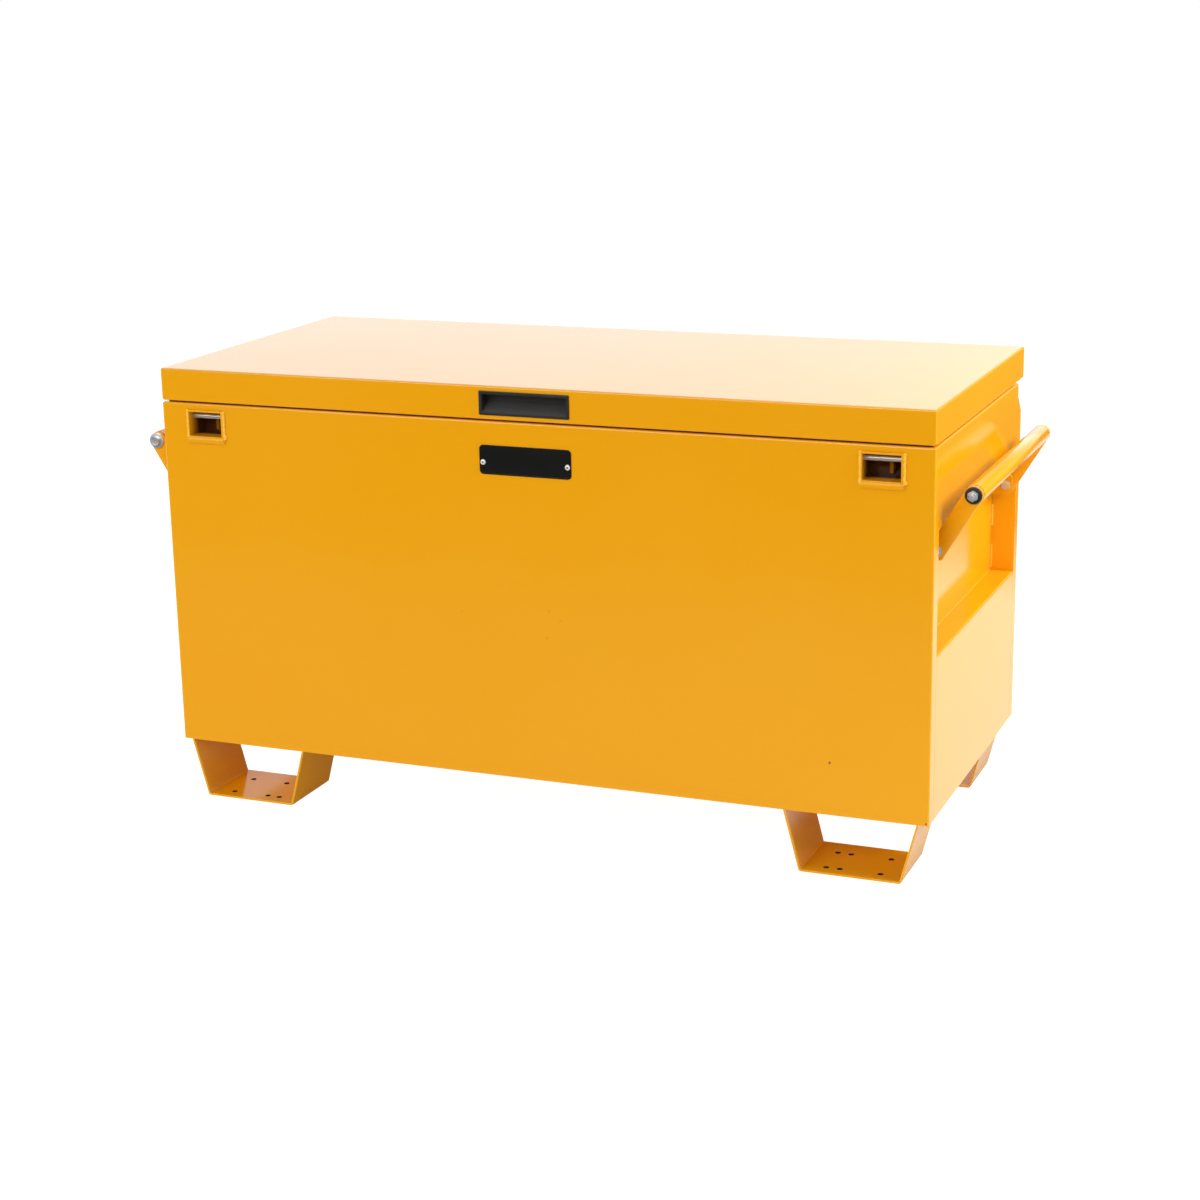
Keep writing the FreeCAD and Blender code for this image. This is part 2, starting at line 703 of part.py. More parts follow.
def leaves(name, first, plate, finger):
    """Three leaves, each a plate with fingers that end in knuckles."""
    body = new(name)
    start = "-hinge_pitch-hinge_long/2"
    made = [pad(body, "YZ", start, start + "+hinge_long", plate)]
    for k in range(first, KNUCKLES, 2):
        x0 = start + "+%s*%d+knuckle_gap/2" % (knuckle, k)
        x1 = start + "+%s*%d-knuckle_gap/2" % (knuckle, k + 1)
        made.append(pad(body, "YZ", x0, x1, finger))
        made.append(pad(body, "YZ", x0, x1, ("hinge_y", "hinge_z", "2*barrel_r")))
    made.append(cut(body, "YZ", start, start + "+hinge_long", ("hinge_y", "hinge_z", "pin_d+pin_fit")))
    repeat(body, made, "X", "2*hinge_pitch", 3)
    return body


leaf_top = "hinge_z-barrel_r-finger_step"
plate = box("notch", "notch+leaf", "leaf_low", leaf_top)
finger = box("notch", "notch+leaf", leaf_top, "hinge_z")
leaves("hinge_body_leaves", 0, plate, finger)
plate = box("leaf_edge", "lid_back-bend", "lid_low-leaf", "lid_low")
finger = box("hinge_y+(pin_d/2+barrel_r)/2", "leaf_edge", "lid_low-leaf", "lid_low")
leaves("hinge_lid_leaves", 1, plate, finger)

hinge_pins = new("hinge_pins")
start = "-hinge_pitch-hinge_long/2"
made = [pad(hinge_pins, "YZ", start, start + "+hinge_long+pin_end", ("hinge_y", "hinge_z", "pin_d")),
        pad(hinge_pins, "YZ", start + "-pin_head", start, ("hinge_y", "hinge_z", "pin_head_d"))]
repeat(hinge_pins, made, "X", "2*hinge_pitch", 3)

# ------------------------------------------------------------ side handles
# The left handle is the right one turned half a turn about the box's middle.


def along(sign, near, far):
    """A stretch along Y counted from the middle of the body."""
    if sign:
        return "mid_y-(%s)" % far, "mid_y-(%s)" % near
    return "mid_y+" + near, "mid_y+" + far


def tabs_and_bolts(word, sign):
    x, z = sign + "pivot_x", "pivot_z"
    tabs = new(word + "_handle_brackets")
    plate = signed(sign, box("inner", "side+tab_proud", "pivot_z+tab_up-tab_tall/2",
                             "pivot_z+tab_up+tab_tall/2"))
    for a, b in (("-tab_out", "tab_gauge-tab_out"), ("tab_out-tab_gauge", "tab_out")):
        low, high = along(sign, "(%s)" % a, "(%s)" % b)
        pad(tabs, "XZ", low, high, plate)
        cut(tabs, "XZ", low, high, (x, z, "pivot_bolt_d+bolt_fit"))
    s = -1 if sign else 1
    edge_x = s * (side + num("tab_proud"))
    mid_z, half = num("pivot_z") + num("tab_up"), num("tab_tall") / 2
    soften(tabs, "tab_round", [(edge_x, None, mid_z + k * half) for k in (1, -1)])
    bolts = new(word + "_handle_pivot_bolts")
    nuts = new(word + "_handle_pivot_nuts")
    rings = new(word + "_handle_pivot_washers")
    face = "(arm_out+pivot_gap)"
    for k in ("", "-"):
        def stretch(near, far):
            if k:
                return along(sign, "(-(%s))" % far, "(-(%s))" % near)
            return along(sign, near, far)
        low, high = stretch("(tab_out-tab_gauge-pivot_head_tall)", "(tab_out-tab_gauge)")
        pad(bolts, "XZ", low, high, hexagon(x, z, "pivot_across"))
        low, high = stretch("(tab_out-tab_gauge)", face + "+pivot_washer+pivot_nut_tall+bolt_spare/2")
        pad(bolts, "XZ", low, high, (x, z, "pivot_bolt_d"))
        low, high = stretch(face, face + "+pivot_washer")
        pad(rings, "XZ", low, high, (x, z, "pivot_washer_d"), (x, z, "pivot_bolt_d+bolt_fit"))
        low, high = stretch(face + "+pivot_washer", face + "+pivot_washer+pivot_nut_tall")
        pad(nuts, "XZ", low, high, hexagon(x, z, "pivot_across"), (x, z, "pivot_bolt_d+bolt_fit"))


def arm(name, sign, near, far):
    """A flat bar with round ends, drawn upright about its pivot and then leaned."""
    body = new(name)
    low, high = along(sign, near, far)
    out = sketch(body, "XZ", "(%s)-(%s)" % (low, high))
    r, reach = num("arm_wide") / 2, num("arm_reach")
    up = V(0, 0, 1)
    foot = out.addGeometry(Part.ArcOfCircle(Part.Circle(V(0, 0, 0), up, r), 3.14159265, 6.2831853), False)
    lean = out.addGeometry(Part.LineSegment(V(r, 0, 0), V(r, reach, 0)), False)
    head = out.addGeometry(Part.ArcOfCircle(Part.Circle(V(0, reach, 0), up, r), 0, 3.14159265), False)
    back = out.addGeometry(Part.LineSegment(V(-r, reach, 0), V(-r, 0, 0)), False)
    for pair in ((foot, 2, lean, 1), (lean, 2, head, 1), (head, 2, back, 1), (back, 2, foot, 1)):
        out.addConstraint(Sketcher.Constraint("Tangent", *pair))
    fix(out, "DistanceX", (-1, 1, foot, 3), 0, "0")
    fix(out, "DistanceY", (-1, 1, foot, 3), 0, "0")
    fix(out, "DistanceX", (-1, 1, head, 3), 0, "0")
    fix(out, "DistanceY", (-1, 1, head, 3), reach, "arm_reach")
    fix(out, "Radius", (foot,), r, "arm_wide/2")
    ring(out, "0", "0", "pivot_bolt_d+bolt_fit")
    ring(out, "0", "arm_reach", "bolt_d+bolt_fit")
    doc.recompute()
    step = body.newObject("PartDesign::Pad", name + "_pad")
    step.Profile = out
    bind(step, "Length", "(%s)-(%s)" % (high, low))
    doc.recompute()
    bind(body, "Placement.Base.x", sign + "pivot_x")
    bind(body, "Placement.Base.y", low)
    bind(body, "Placement.Base.z", "pivot_z")
    body.Placement.Rotation = FreeCAD.Rotation(V(0, 1, 0), 1)
    bind(body, "Placement.Rotation.Angle", sign + "arm_lean")
    doc.recompute()


def grip(word, sign):
    x, z = sign + "grip_x", "grip_z"
    hole = (x, z, "bolt_d+bolt_fit")
    tube = new(word + "_grip_tube")
    pad(tube, "XZ", *along(sign, "-grip_end", "grip_end"), (x, z, "grip_d"), (x, z, "grip_d-2*grip_wall"))
    plugs = new(word + "_grip_plugs")
    for a, b, c in (("-arm_in", "-grip_end", "plug_deep-grip_end"),
                    ("arm_in", "grip_end", "grip_end-plug_deep")):
        rim_ends = sorted((a, b)) if a == "-arm_in" else (b, a)
        pad(plugs, "XZ", *along(sign, *rim_ends), (x, z, "grip_d-plug_step"), hole)
        body_ends = (b, c) if a == "-arm_in" else (c, b)
        pad(plugs, "XZ", *along(sign, *body_ends), (x, z, "grip_d-2*grip_wall-plug_fit"), hole)
    for end, a, b in (("front", "-arm_out", "-arm_in"), ("rear", "arm_in", "arm_out")):
        if sign:
            end = {"front": "rear", "rear": "front"}[end]
        arm("%s_%s_arm" % (word, end), sign, a, b)
    washer = new(word + "_grip_black_washer")
    pad(washer, "XZ", *along(sign, "(-arm_out-washer_black)", "-arm_out"), (x, z, "washer_d"), hole)
    washer = new(word + "_grip_zinc_washer")
    pad(washer, "XZ", *along(sign, "arm_out", "arm_out+washer_zinc"), (x, z, "washer_d"), hole)
    nut = new(word + "_grip_nut")
    face = "-arm_out-washer_black"
    pad(nut, "XZ", *along(sign, "(%s-nut_tall)" % face, "(%s)" % face), hexagon(x, z, "nut_across"), hole)
    bolt = new(word + "_grip_bolt")
    tip = "(%s-nut_tall-bolt_spare)" % face
    pad(bolt, "XZ", *along(sign, tip, "arm_out+washer_zinc"), (x, z, "bolt_d"))
    pad(bolt, "XZ", *along(sign, "arm_out+washer_zinc", "arm_out+washer_zinc+head_tall"),
        hexagon(x, z, "nut_across"))


for word, sign in SIDES:
    tabs_and_bolts(word, sign)
    grip(word, sign)

# ------------------------------------------------------------------ struts
brackets = new("strut_body_brackets")
base = box("strut_y-bracket_long/2", "strut_y+bracket_long/2",
           "strut_z-bracket_tall/2", "strut_z+bracket_tall/2")
made = [pad(brackets, "YZ", "inner-gauge-stud_plate", "inner-gauge", base),
        pad(brackets, "YZ", "eye_out+eye_gap", "inner-gauge-stud_plate",
            ("strut_y", "strut_z", "stud_shoulder")),
        pad(brackets, "YZ", "eye_in-stud_tip", "eye_out+eye_gap", ("strut_y", "strut_z", "rod_d"))]
twin(brackets, made)
clips = new("strut_stud_clips")
twin(clips, [pad(clips, "YZ", "eye_in-eye_gap-clip_gauge", "eye_in-eye_gap",
                 ("strut_y", "strut_z", "clip_d"), ("strut_y", "strut_z", "rod_d+2*neck_fit"))])
hangers = new("strut_lid_brackets")
ends = ("strut_top_y-bracket_long/2", "strut_top_y+bracket_long/2")
web = box(*ends, "strut_top_z-hanger_low", "lid_top-gauge")
foot = box(*ends, "lid_top-gauge-stud_plate", "lid_top-gauge")
near = "eye_out+hanger_gap"
made = [pad(hangers, "YZ", near, near + "+stud_plate", web),
        pad(hangers, "YZ", near + "+stud_plate", near + "+stud_plate+hanger_foot", foot)]
twin(hangers, made)


def turned(body, outline, hole=None):
    """A body of revolution about its own Z axis, from a half outline in (radius, height)."""
    out = sketch(body, "XZ", "0")
    draw(out, [outline])
    step = body.newObject("PartDesign::Revolution", body.Name + "_turned")
    step.Profile = out
    step.ReferenceAxis = (axis(body, "Z"), [""])
    step.Angle = 360
    doc.recompute()
    return step


def stand(body, sign):
    """Sets a body drawn along Z on the strut's lower pivot and leans it onto its line."""
    bind(body, "Placement.Base.x", sign + "strut_x")
    bind(body, "Placement.Base.y", "strut_y")
    bind(body, "Placement.Base.z", "strut_z")
    body.Placement.Rotation = FreeCAD.Rotation(V(-1, 0, 0), 1)
    bind(body, "Placement.Rotation.Angle", "strut_lean")
    doc.recompute()


for word, sign in SIDES:
    tube = new(word + "_strut_cylinder")
    out_r, in_r, neck = "tube_d/2", "(tube_d/2-tube_wall)", "(rod_d/2+neck_fit)"
    end = "tube_start+tube_long"
    turned(tube, [("0", "eye_d/2-eye_sink"), ("rod_d/2", "eye_d/2-eye_sink"), ("rod_d/2", "tube_start"),
                  (out_r, "tube_start"), (out_r, end), (neck, end), (neck, end + "-neck_long"),
                  (in_r, end + "-neck_long"), (in_r, "tube_start+tube_base"),
                  ("0", "tube_start+tube_base")])
    pad(tube, "YZ", "-eye_thick/2", "eye_thick/2", ("0", "0", "eye_d"))
    cut(tube, "YZ", "-eye_thick/2", "eye_thick/2", ("0", "0", "rod_d+eye_fit"))
    stand(tube, sign)
    rod = new(word + "_strut_rod")
    low, high = "tube_start+piston_up", "tube_start+piston_up+piston_long"
    piston = "(tube_d/2-tube_wall-neck_fit)"
    turned(rod, [("0", low), (piston, low), (piston, high), ("rod_d/2", high),
                 ("rod_d/2", "strut_long-eye_d/2+eye_sink"), ("0", "strut_long-eye_d/2+eye_sink")])
    pad(rod, "YZ", "-eye_thick/2", "eye_thick/2", ("0", "strut_long", "eye_d"))
    near, far = span(sign, "-eye_thick/2-stud_tip", "eye_thick/2+hanger_gap-eye_gap")
    pad(rod, "YZ", near, far, ("0", "strut_long", "rod_d"))
    stand(rod, sign)

# ------------------------------------------------------------------- write
doc.recompute()
os.makedirs("parts", exist_ok=True)
for item in doc.Objects:
    if "Invalid" in item.State or "Error" in item.State:
        raise RuntimeError("%s is not in order: %s" % (item.Name, item.State))
for body in doc.Objects:
    if body.TypeId != "PartDesign::Body":
        continue
    if body.Shape.isNull() or not body.Shape.isValid():
        raise RuntimeError("no sound solid in " + body.Label)
    body.Shape.exportStep("parts/%s.step" % body.Label)
    print(body.Label, len(body.Shape.Solids), round(body.Shape.Volume))
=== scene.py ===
# %% [markdown]
# # A jobsite storage box in powder-coated steel
# The solids come in as a fixed frame: sixty named parts, each already in its
# place in metres.  This notebook gives every one of them its finish, swaps
# the small hardware for pieces with real chamfers, threads and mouldings, and
# adds what a workshop leaves behind, such as weld beads.

# %% Load the frame
import json
import math
import random
import bmesh
import bpy
from mathutils import Matrix, Vector


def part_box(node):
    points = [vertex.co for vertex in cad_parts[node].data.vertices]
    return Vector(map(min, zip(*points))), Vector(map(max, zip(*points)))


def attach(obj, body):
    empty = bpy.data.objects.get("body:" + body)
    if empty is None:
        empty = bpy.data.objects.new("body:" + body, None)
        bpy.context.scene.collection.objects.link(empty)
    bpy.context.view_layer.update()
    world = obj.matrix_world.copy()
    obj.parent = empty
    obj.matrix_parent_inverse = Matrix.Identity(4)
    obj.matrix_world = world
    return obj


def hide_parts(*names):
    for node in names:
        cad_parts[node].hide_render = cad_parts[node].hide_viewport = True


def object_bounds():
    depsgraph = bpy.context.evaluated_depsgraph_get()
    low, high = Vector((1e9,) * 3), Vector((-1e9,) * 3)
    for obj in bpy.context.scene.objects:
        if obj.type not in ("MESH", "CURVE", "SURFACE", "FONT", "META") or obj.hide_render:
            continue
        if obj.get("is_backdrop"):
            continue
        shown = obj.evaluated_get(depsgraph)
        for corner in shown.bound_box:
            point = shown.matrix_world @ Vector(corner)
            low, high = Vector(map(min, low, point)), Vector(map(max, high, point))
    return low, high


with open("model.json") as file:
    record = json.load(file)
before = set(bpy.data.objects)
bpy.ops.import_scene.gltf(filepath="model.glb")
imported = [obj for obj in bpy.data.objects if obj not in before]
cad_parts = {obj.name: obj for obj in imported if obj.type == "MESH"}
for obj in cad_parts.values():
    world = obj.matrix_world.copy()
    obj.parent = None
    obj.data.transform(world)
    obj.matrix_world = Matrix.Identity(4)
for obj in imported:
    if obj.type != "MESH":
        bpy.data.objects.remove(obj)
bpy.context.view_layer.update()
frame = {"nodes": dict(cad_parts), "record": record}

nodes = frame["nodes"]

# %% [markdown]
# ## Where the viewer stands
# The box is seen from its front right, from a little above the lid.  The lens
# is a long one, 70.7 mm, so the verticals lean together only slightly.  The
# camera's turn is built from a yaw, a pitch and a small roll, because those
# are easier to reason about than nine numbers of a matrix.

# %% Camera
YAW, PITCH, ROLL = math.radians(22.118), math.radians(15.302), math.radians(-1.034)
turn = (Matrix.Rotation(YAW, 4, "Z") @ Matrix.Rotation(math.pi / 2 - PITCH, 4, "X")
        @ Matrix.Rotation(ROLL, 4, "Z"))
lens = bpy.data.cameras.new("studio_camera")
lens.lens = 70.725
lens.sensor_width = 36.0
camera = bpy.data.objects.new("studio_camera", lens)
camera.matrix_world = Matrix.Translation((1.3419, -3.2997, 1.2710)) @ turn
bpy.context.collection.objects.link(camera)
bpy.context.scene.camera = camera
print("camera looks along", [round(v, 3) for v in turn @ Vector((0, 0, -1))])

# %% [markdown]
# ## Small tools for shader nodes
# A material is a graph.  These helpers keep the later cells short: they add a
# node and set or wire its inputs, do a sum, blend two colours, stretch a
# number, and open and place a group with named sockets.

# %% Node helpers


def feed(tree, socket, value):
    """Wires a socket into an input, or sets the input to a plain value."""
    if isinstance(value, bpy.types.NodeSocket):
        tree.links.new(value, socket)
    else:
        socket.default_value = value


def add(tree, kind, **inputs):
    """A node of one kind; an input goes by its name, or by its number as i0, i1."""
    node = tree.nodes.new("ShaderNode" + kind)
    for name, value in inputs.items():
        numbered = name[0] == "i" and name[1:].isdigit()
        feed(tree, node.inputs[int(name[1:]) if numbered else name.replace("_", " ")], value)
    return node


def math_node(tree, how, first, second=0.0):
    node = add(tree, "Math", i0=first, i1=second)
    node.operation = how
    return node.outputs[0]


def product(tree, first, *others):
    """Several numbers multiplied together."""
    for other in others:
        first = math_node(tree, "MULTIPLY", first, other)
    return first


def blend(tree, mask, first, second):
    """Colour from first to second as the mask goes from 0 to 1."""
    node = tree.nodes.new("ShaderNodeMix")
    node.data_type = "RGBA"
    for number, value in ((0, mask), (6, first), (7, second)):
        feed(tree, node.inputs[number], value)
    return node.outputs[2]


def spread(tree, value, low, high, to_low=0.0, to_high=1.0):
    """A number stretched from one range onto another, and held inside it."""
    node = add(tree, "MapRange", i0=value, i1=low, i2=high, i3=to_low, i4=to_high)
    return node.outputs[0]


def object_axes(tree):
    """X, Y and Z of the shaded point in Object coordinates, in metres."""
    return add(tree, "SeparateXYZ", Vector=add(tree, "TexCoord").outputs["Object"]).outputs


def upwards(tree, which="Normal"):
    """How far the surface looks up: 1 on a flat top, 0 on a wall, -1 below."""
    return add(tree, "SeparateXYZ", Vector=add(tree, "NewGeometry").outputs[which]).outputs["Z"]


def away_from(tree, value, middle):
    """The distance of a number from a middle value."""
    return math_node(tree, "ABSOLUTE", math_node(tree, "SUBTRACT", value, middle))


def group(name, takes, gives):
    """A new node group with its named inputs and outputs."""
    tree = bpy.data.node_groups.new(name, "ShaderNodeTree")
    for label, kind, value in takes:
        socket = tree.interface.new_socket(label, in_out="INPUT", socket_type="NodeSocket" + kind)
        socket.default_value = value
    for label, kind in gives:
        tree.interface.new_socket(label, in_out="OUTPUT", socket_type="NodeSocket" + kind)
    return tree, tree.nodes.new("NodeGroupInput").outputs, tree.nodes.new("NodeGroupOutput").inputs


def place(tree, shared, **inputs):
    """Puts a shared group into a material and sets its inputs."""
    node = tree.nodes.new("ShaderNodeGroup")
    node.node_tree = shared
    for name, value in inputs.items():
        feed(tree, node.inputs[name.replace("_", " ")], value)
    return node.outputs


def grey(level):
    return (level, level, level, 1.0)


print("helpers ready")

# %% [markdown]
# ## Effects that several finishes share
# Fine grain, broad drift, dust and rubbed edges turn up on paint, zinc and
# plastic alike, so each is one node group with its own named inputs; the
# edge group can also paint a highlight on edges that face up.  The patterns
# read Object coordinates, which are metres here, so a scale of 400 means
# marks of about 2.5 mm.

# %% Shared effect: grain, a fine bump and a broad drift
grain, take, give = group(
    "grain",
    [("Fine Scale", "Float", 400.0), ("Broad Scale", "Float", 3.0), ("Stretch", "Vector", (1, 1, 1))],
    [("Fine", "Float"), ("Broad", "Float")])
where = add(grain, "TexCoord").outputs["Object"]
pulled = add(grain, "VectorMath", i0=where, i1=take["Stretch"])
pulled.operation = "MULTIPLY"
fine = add(grain, "TexNoise", Vector=pulled.outputs[0], Scale=take["Fine Scale"], Detail=2.0)
broad = add(grain, "TexNoise", Vector=where, Scale=take["Broad Scale"], Detail=3.0)
grain.links.new(fine.outputs["Fac"], give["Fine"])
grain.links.new(broad.outputs["Fac"], give["Broad"])
print("group:", grain.name)

# %% Shared effect: edges rubbed thin or bright, and a painted highlight on edges that face up
edge_wear_and_highlight, take, give = group(
    "edge_wear_and_highlight",
    [("Width", "Float", 0.0015), ("Patchiness", "Float", 60.0), ("Amount", "Float", 0.5),
     ("Evenness", "Float", 0.0), ("Underside", "Float", 1.0)],
    [("Wear_And_Highlight", "Float")])
softened = add(edge_wear_and_highlight, "Bevel", Radius=take["Width"])
softened.samples = 4
true_normal = add(edge_wear_and_highlight, "NewGeometry").outputs["Normal"]
agreement = add(edge_wear_and_highlight, "VectorMath", i0=softened.outputs[0], i1=true_normal)
agreement.operation = "DOT_PRODUCT"
edge = spread(edge_wear_and_highlight, agreement.outputs["Value"], 0.995, 0.88)
where = add(edge_wear_and_highlight, "TexCoord").outputs["Object"]
patch = add(edge_wear_and_highlight, "TexNoise", Vector=where, Scale=take["Patchiness"], Detail=4.0).outputs["Fac"]
patchy = spread(edge_wear_and_highlight, patch, 0.42, 0.62, take["Evenness"], 1.0)
# Painted highlight: with Underside below 1, edges that face down get less of the pale edge than edges
# that face up.
tilt = add(edge_wear_and_highlight, "SeparateXYZ", Vector=softened.outputs[0]).outputs["Z"]
upward = spread(edge_wear_and_highlight, tilt, -0.05, 0.20, take["Underside"], 1.0)
wear_and_highlight = product(edge_wear_and_highlight, edge, patchy, take["Amount"], upward)
edge_wear_and_highlight.links.new(wear_and_highlight, give["Wear_And_Highlight"])
print("group:", edge_wear_and_highlight.name)

# %% Shared effect: specks of site dust
dust, take, give = group(
    "dust",
    [("Size", "Float", 45.0), ("Amount", "Float", 0.2)],
    [("Dust", "Float")])
where = add(dust, "TexCoord").outputs["Object"]
cells = add(dust, "TexVoronoi", Vector=where, Scale=take["Size"], Randomness=1.0)
cells.distance = "EUCLIDEAN"
speck = spread(dust, cells.outputs["Distance"], 0.055, 0.02)
rare = add(dust, "TexWhiteNoise", Vector=cells.outputs["Color"]).outputs["Value"]
kept = math_node(dust, "GREATER_THAN", rare, 0.93)
dust.links.new(product(dust, speck, kept, take["Amount"]), give["Dust"])
print("group:", dust.name)

# %% [markdown]
# ## The powder coat
# Baked powder flows out into a thick, glossy skin with a very fine orange
# peel.  One Principled shader does it: a golden base, low roughness and a
# faint bump.  Where the film is thin over an edge it looks a little paler,
# which is the edge group's work; there it also paints a highlight, strongest
# on edges that face up.  Deep in a pocket the colour is painted darker with
# depth, a painted shade, less on the pocket floors.  The weld beads are
# painted a paler gold, a painted highlight.

# %% Masks of painted shade for the pockets and the castor holes
PAD_TOP = 0.0031
PAD_MIDDLE_X, PAD_MIDDLE_Y = 0.4865, 0.2105
HOLES_REACH_X, HOLES_REACH_Y = 0.068, 0.050
POCKET_MIDDLE, POCKET_REACH = 0.5255, 0.0285
POCKET_ROOF, POCKET_BACK = 0.6170, -0.2275
# Along Y: no painted shade in the pockets at the first two of these, full painted shade at the last.
POCKET_SHADE_STARTS, POCKET_FLOOR_SHADE_STARTS, POCKET_SHADE_FULL = -0.2690, -0.2570, -0.2480


def painted_castor_hole_shade(tree):
    """A mask that is 1 on the walls of the castor holes in the feet's pads, where it paints shade."""
    at = object_axes(tree)
    flatness = math_node(tree, "ABSOLUTE", upwards(tree, "True Normal"))
    wall = math_node(tree, "LESS_THAN", flatness, 0.5)
    low = math_node(tree, "LESS_THAN", at["Z"], PAD_TOP)
    from_x = away_from(tree, math_node(tree, "ABSOLUTE", at["X"]), PAD_MIDDLE_X)
    from_y = away_from(tree, math_node(tree, "ABSOLUTE", at["Y"]), PAD_MIDDLE_Y)
    return product(tree, wall, low, math_node(tree, "LESS_THAN", from_x, HOLES_REACH_X),
                   math_node(tree, "LESS_THAN", from_y, HOLES_REACH_Y))


def painted_pocket_shade(tree):
    """Painted shade: a mask that grows with depth inside the pockets, and later on their floors, which
    face the light.
    """
    at = object_axes(tree)
    from_middle = away_from(tree, math_node(tree, "ABSOLUTE", at["X"]), POCKET_MIDDLE)
    inside = product(tree, math_node(tree, "LESS_THAN", from_middle, POCKET_REACH),
                     math_node(tree, "LESS_THAN", at["Z"], POCKET_ROOF),
                     math_node(tree, "LESS_THAN", at["Y"], POCKET_BACK))
    not_a_floor = spread(tree, upwards(tree), 0.5, 0.9, 1.0, 0.0)
    on_walls = product(tree, spread(tree, at["Y"], POCKET_SHADE_STARTS, POCKET_SHADE_FULL), not_a_floor)
    on_floors = spread(tree, at["Y"], POCKET_FLOOR_SHADE_STARTS, POCKET_SHADE_FULL)
    return product(tree, math_node(tree, "MAXIMUM", on_floors, on_walls), inside)


print("pocket film gone", round((POCKET_SHADE_FULL - POCKET_SHADE_STARTS) * 1000), "mm in")

# %% Finish: yellow powder coat
# The pale edge colour is partly a painted highlight.
PALE_EDGE_AND_HIGHLIGHT = (1.0, 0.62, 0.10, 1.0)
SITE_DUST = (0.30, 0.17, 0.05, 1.0)
# Painted shade for deep inside the pockets.
POCKET_PAINTED_SHADE = (0.10, 0.028, 0.003, 1.0)
# Painted shade for the walls of the castor holes.
HOLE_WALL_PAINTED_SHADE = (0.05, 0.016, 0.003, 1.0)


def new_material(name):
    made = bpy.data.materials.new(name)
    made.use_nodes = True
    tree = made.node_tree
    return made, tree, tree.nodes["Principled BSDF"]


def powder_coat(name, base, pale, rough, mask=None, below=None):
    """The yellow coat; a mask, if given, lets the colour below it show."""
    made, tree, shader = new_material(name)
    texture = place(tree, grain, Fine_Scale=520.0, Broad_Scale=2.2)
    # Pale edges, partly a painted highlight: Underside 0.15 keeps edges that face down much darker than
    # edges that face up.
    wear_and_highlight = place(tree, edge_wear_and_highlight, Width=0.0016, Patchiness=40.0, Amount=0.9, Evenness=0.6,
                 Underside=0.15)["Wear_And_Highlight"]
    specks = place(tree, dust, Size=38.0, Amount=0.35)["Dust"]
    drift = spread(tree, texture["Broad"], 0.35, 0.65, 0.0, 0.10)
    colour = blend(tree, drift, base, pale)
    colour = blend(tree, wear_and_highlight, colour, PALE_EDGE_AND_HIGHLIGHT)
    colour = blend(tree, specks, colour, SITE_DUST)
    if mask:
        colour = blend(tree, mask(tree), colour, below)
    tree.links.new(colour, shader.inputs["Base Color"])
    gloss = spread(tree, texture["Broad"], 0.3, 0.7, rough * 0.85, rough * 1.2)
    tree.links.new(gloss, shader.inputs["Roughness"])
    bump = add(tree, "Bump", Strength=0.035, Distance=0.0004, Height=texture["Fine"])
    tree.links.new(bump.outputs[0], shader.inputs["Normal"])
    shader.inputs["IOR"].default_value = 1.5
    return made


GOLD, PALE_GOLD = (0.83, 0.365, 0.004, 1.0), (0.93, 0.47, 0.035, 1.0)
# The weld beads' gold is paler than the panels' gold: a painted highlight.
HIGHLIT_BEAD_GOLD, HIGHLIT_PALE_BEAD = (0.96, 0.52, 0.03, 1.0), (1.0, 0.66, 0.16, 1.0)
GLOSSY, DULLER = 0.12, 0.20
yellow_coat = powder_coat("yellow_powder_coat", GOLD, PALE_GOLD, GLOSSY)
bead_coat_painted_highlight = powder_coat("yellow_coat_on_welds_painted_highlight", HIGHLIT_BEAD_GOLD, HIGHLIT_PALE_BEAD, DULLER)
# The next two coats paint shade into the pockets and into the castor holes.
pocket_coat_painted_shade = powder_coat("yellow_coat_with_painted_pocket_shade", GOLD, PALE_GOLD, GLOSSY, painted_pocket_shade, POCKET_PAINTED_SHADE)
feet_coat_painted_hole_shade = powder_coat("yellow_coat_with_painted_hole_shade", GOLD, PALE_GOLD, GLOSSY, painted_castor_hole_shade, HOLE_WALL_PAINTED_SHADE)
print("finishes:", yellow_coat.name, bead_coat_painted_highlight.name, pocket_coat_painted_shade.name, feet_coat_painted_hole_shade.name)

# %% [markdown]
# ## Zinc, black plastic and the rest
# Bright zinc plating is a cool, slightly cloudy metal; the cloud is a low
# contrast noise in its colour and roughness.  Moulded plastic has a fine
# spark-eroded grain, and its faces that look up can be made lighter.  The
# name plate is satin black.  Each gets its own small graph from the same
# groups.

# %% Finish: metals


def metal(name, base, dark, rough, metallic=1.0, stretch=(1, 1, 1)):
    """A clouded metal with bright edges; stretch draws its grain out along an axis."""
    made, tree, shader = new_material(name)
    texture = place(tree, grain, Fine_Scale=700.0, Broad_Scale=55.0, Stretch=stretch)
    wear_and_highlight = place(tree, edge_wear_and_highlight, Width=0.0006, Patchiness=150.0, Amount=0.6)["Wear_And_Highlight"]
    cloud = spread(tree, texture["Broad"], 0.35, 0.65)
    colour = blend(tree, cloud, base, dark)
    colour = blend(tree, wear_and_highlight, colour, grey(0.85))
    tree.links.new(colour, shader.inputs["Base Color"])
    tree.links.new(spread(tree, texture["Broad"], 0.3, 0.7, rough * 0.7, rough * 1.4),
                   shader.inputs["Roughness"])
    bump = add(tree, "Bump", Strength=0.05, Distance=0.0002, Height=texture["Fine"])
    tree.links.new(bump.outputs[0], shader.inputs["Normal"])
    shader.inputs["Metallic"].default_value = metallic
    return made


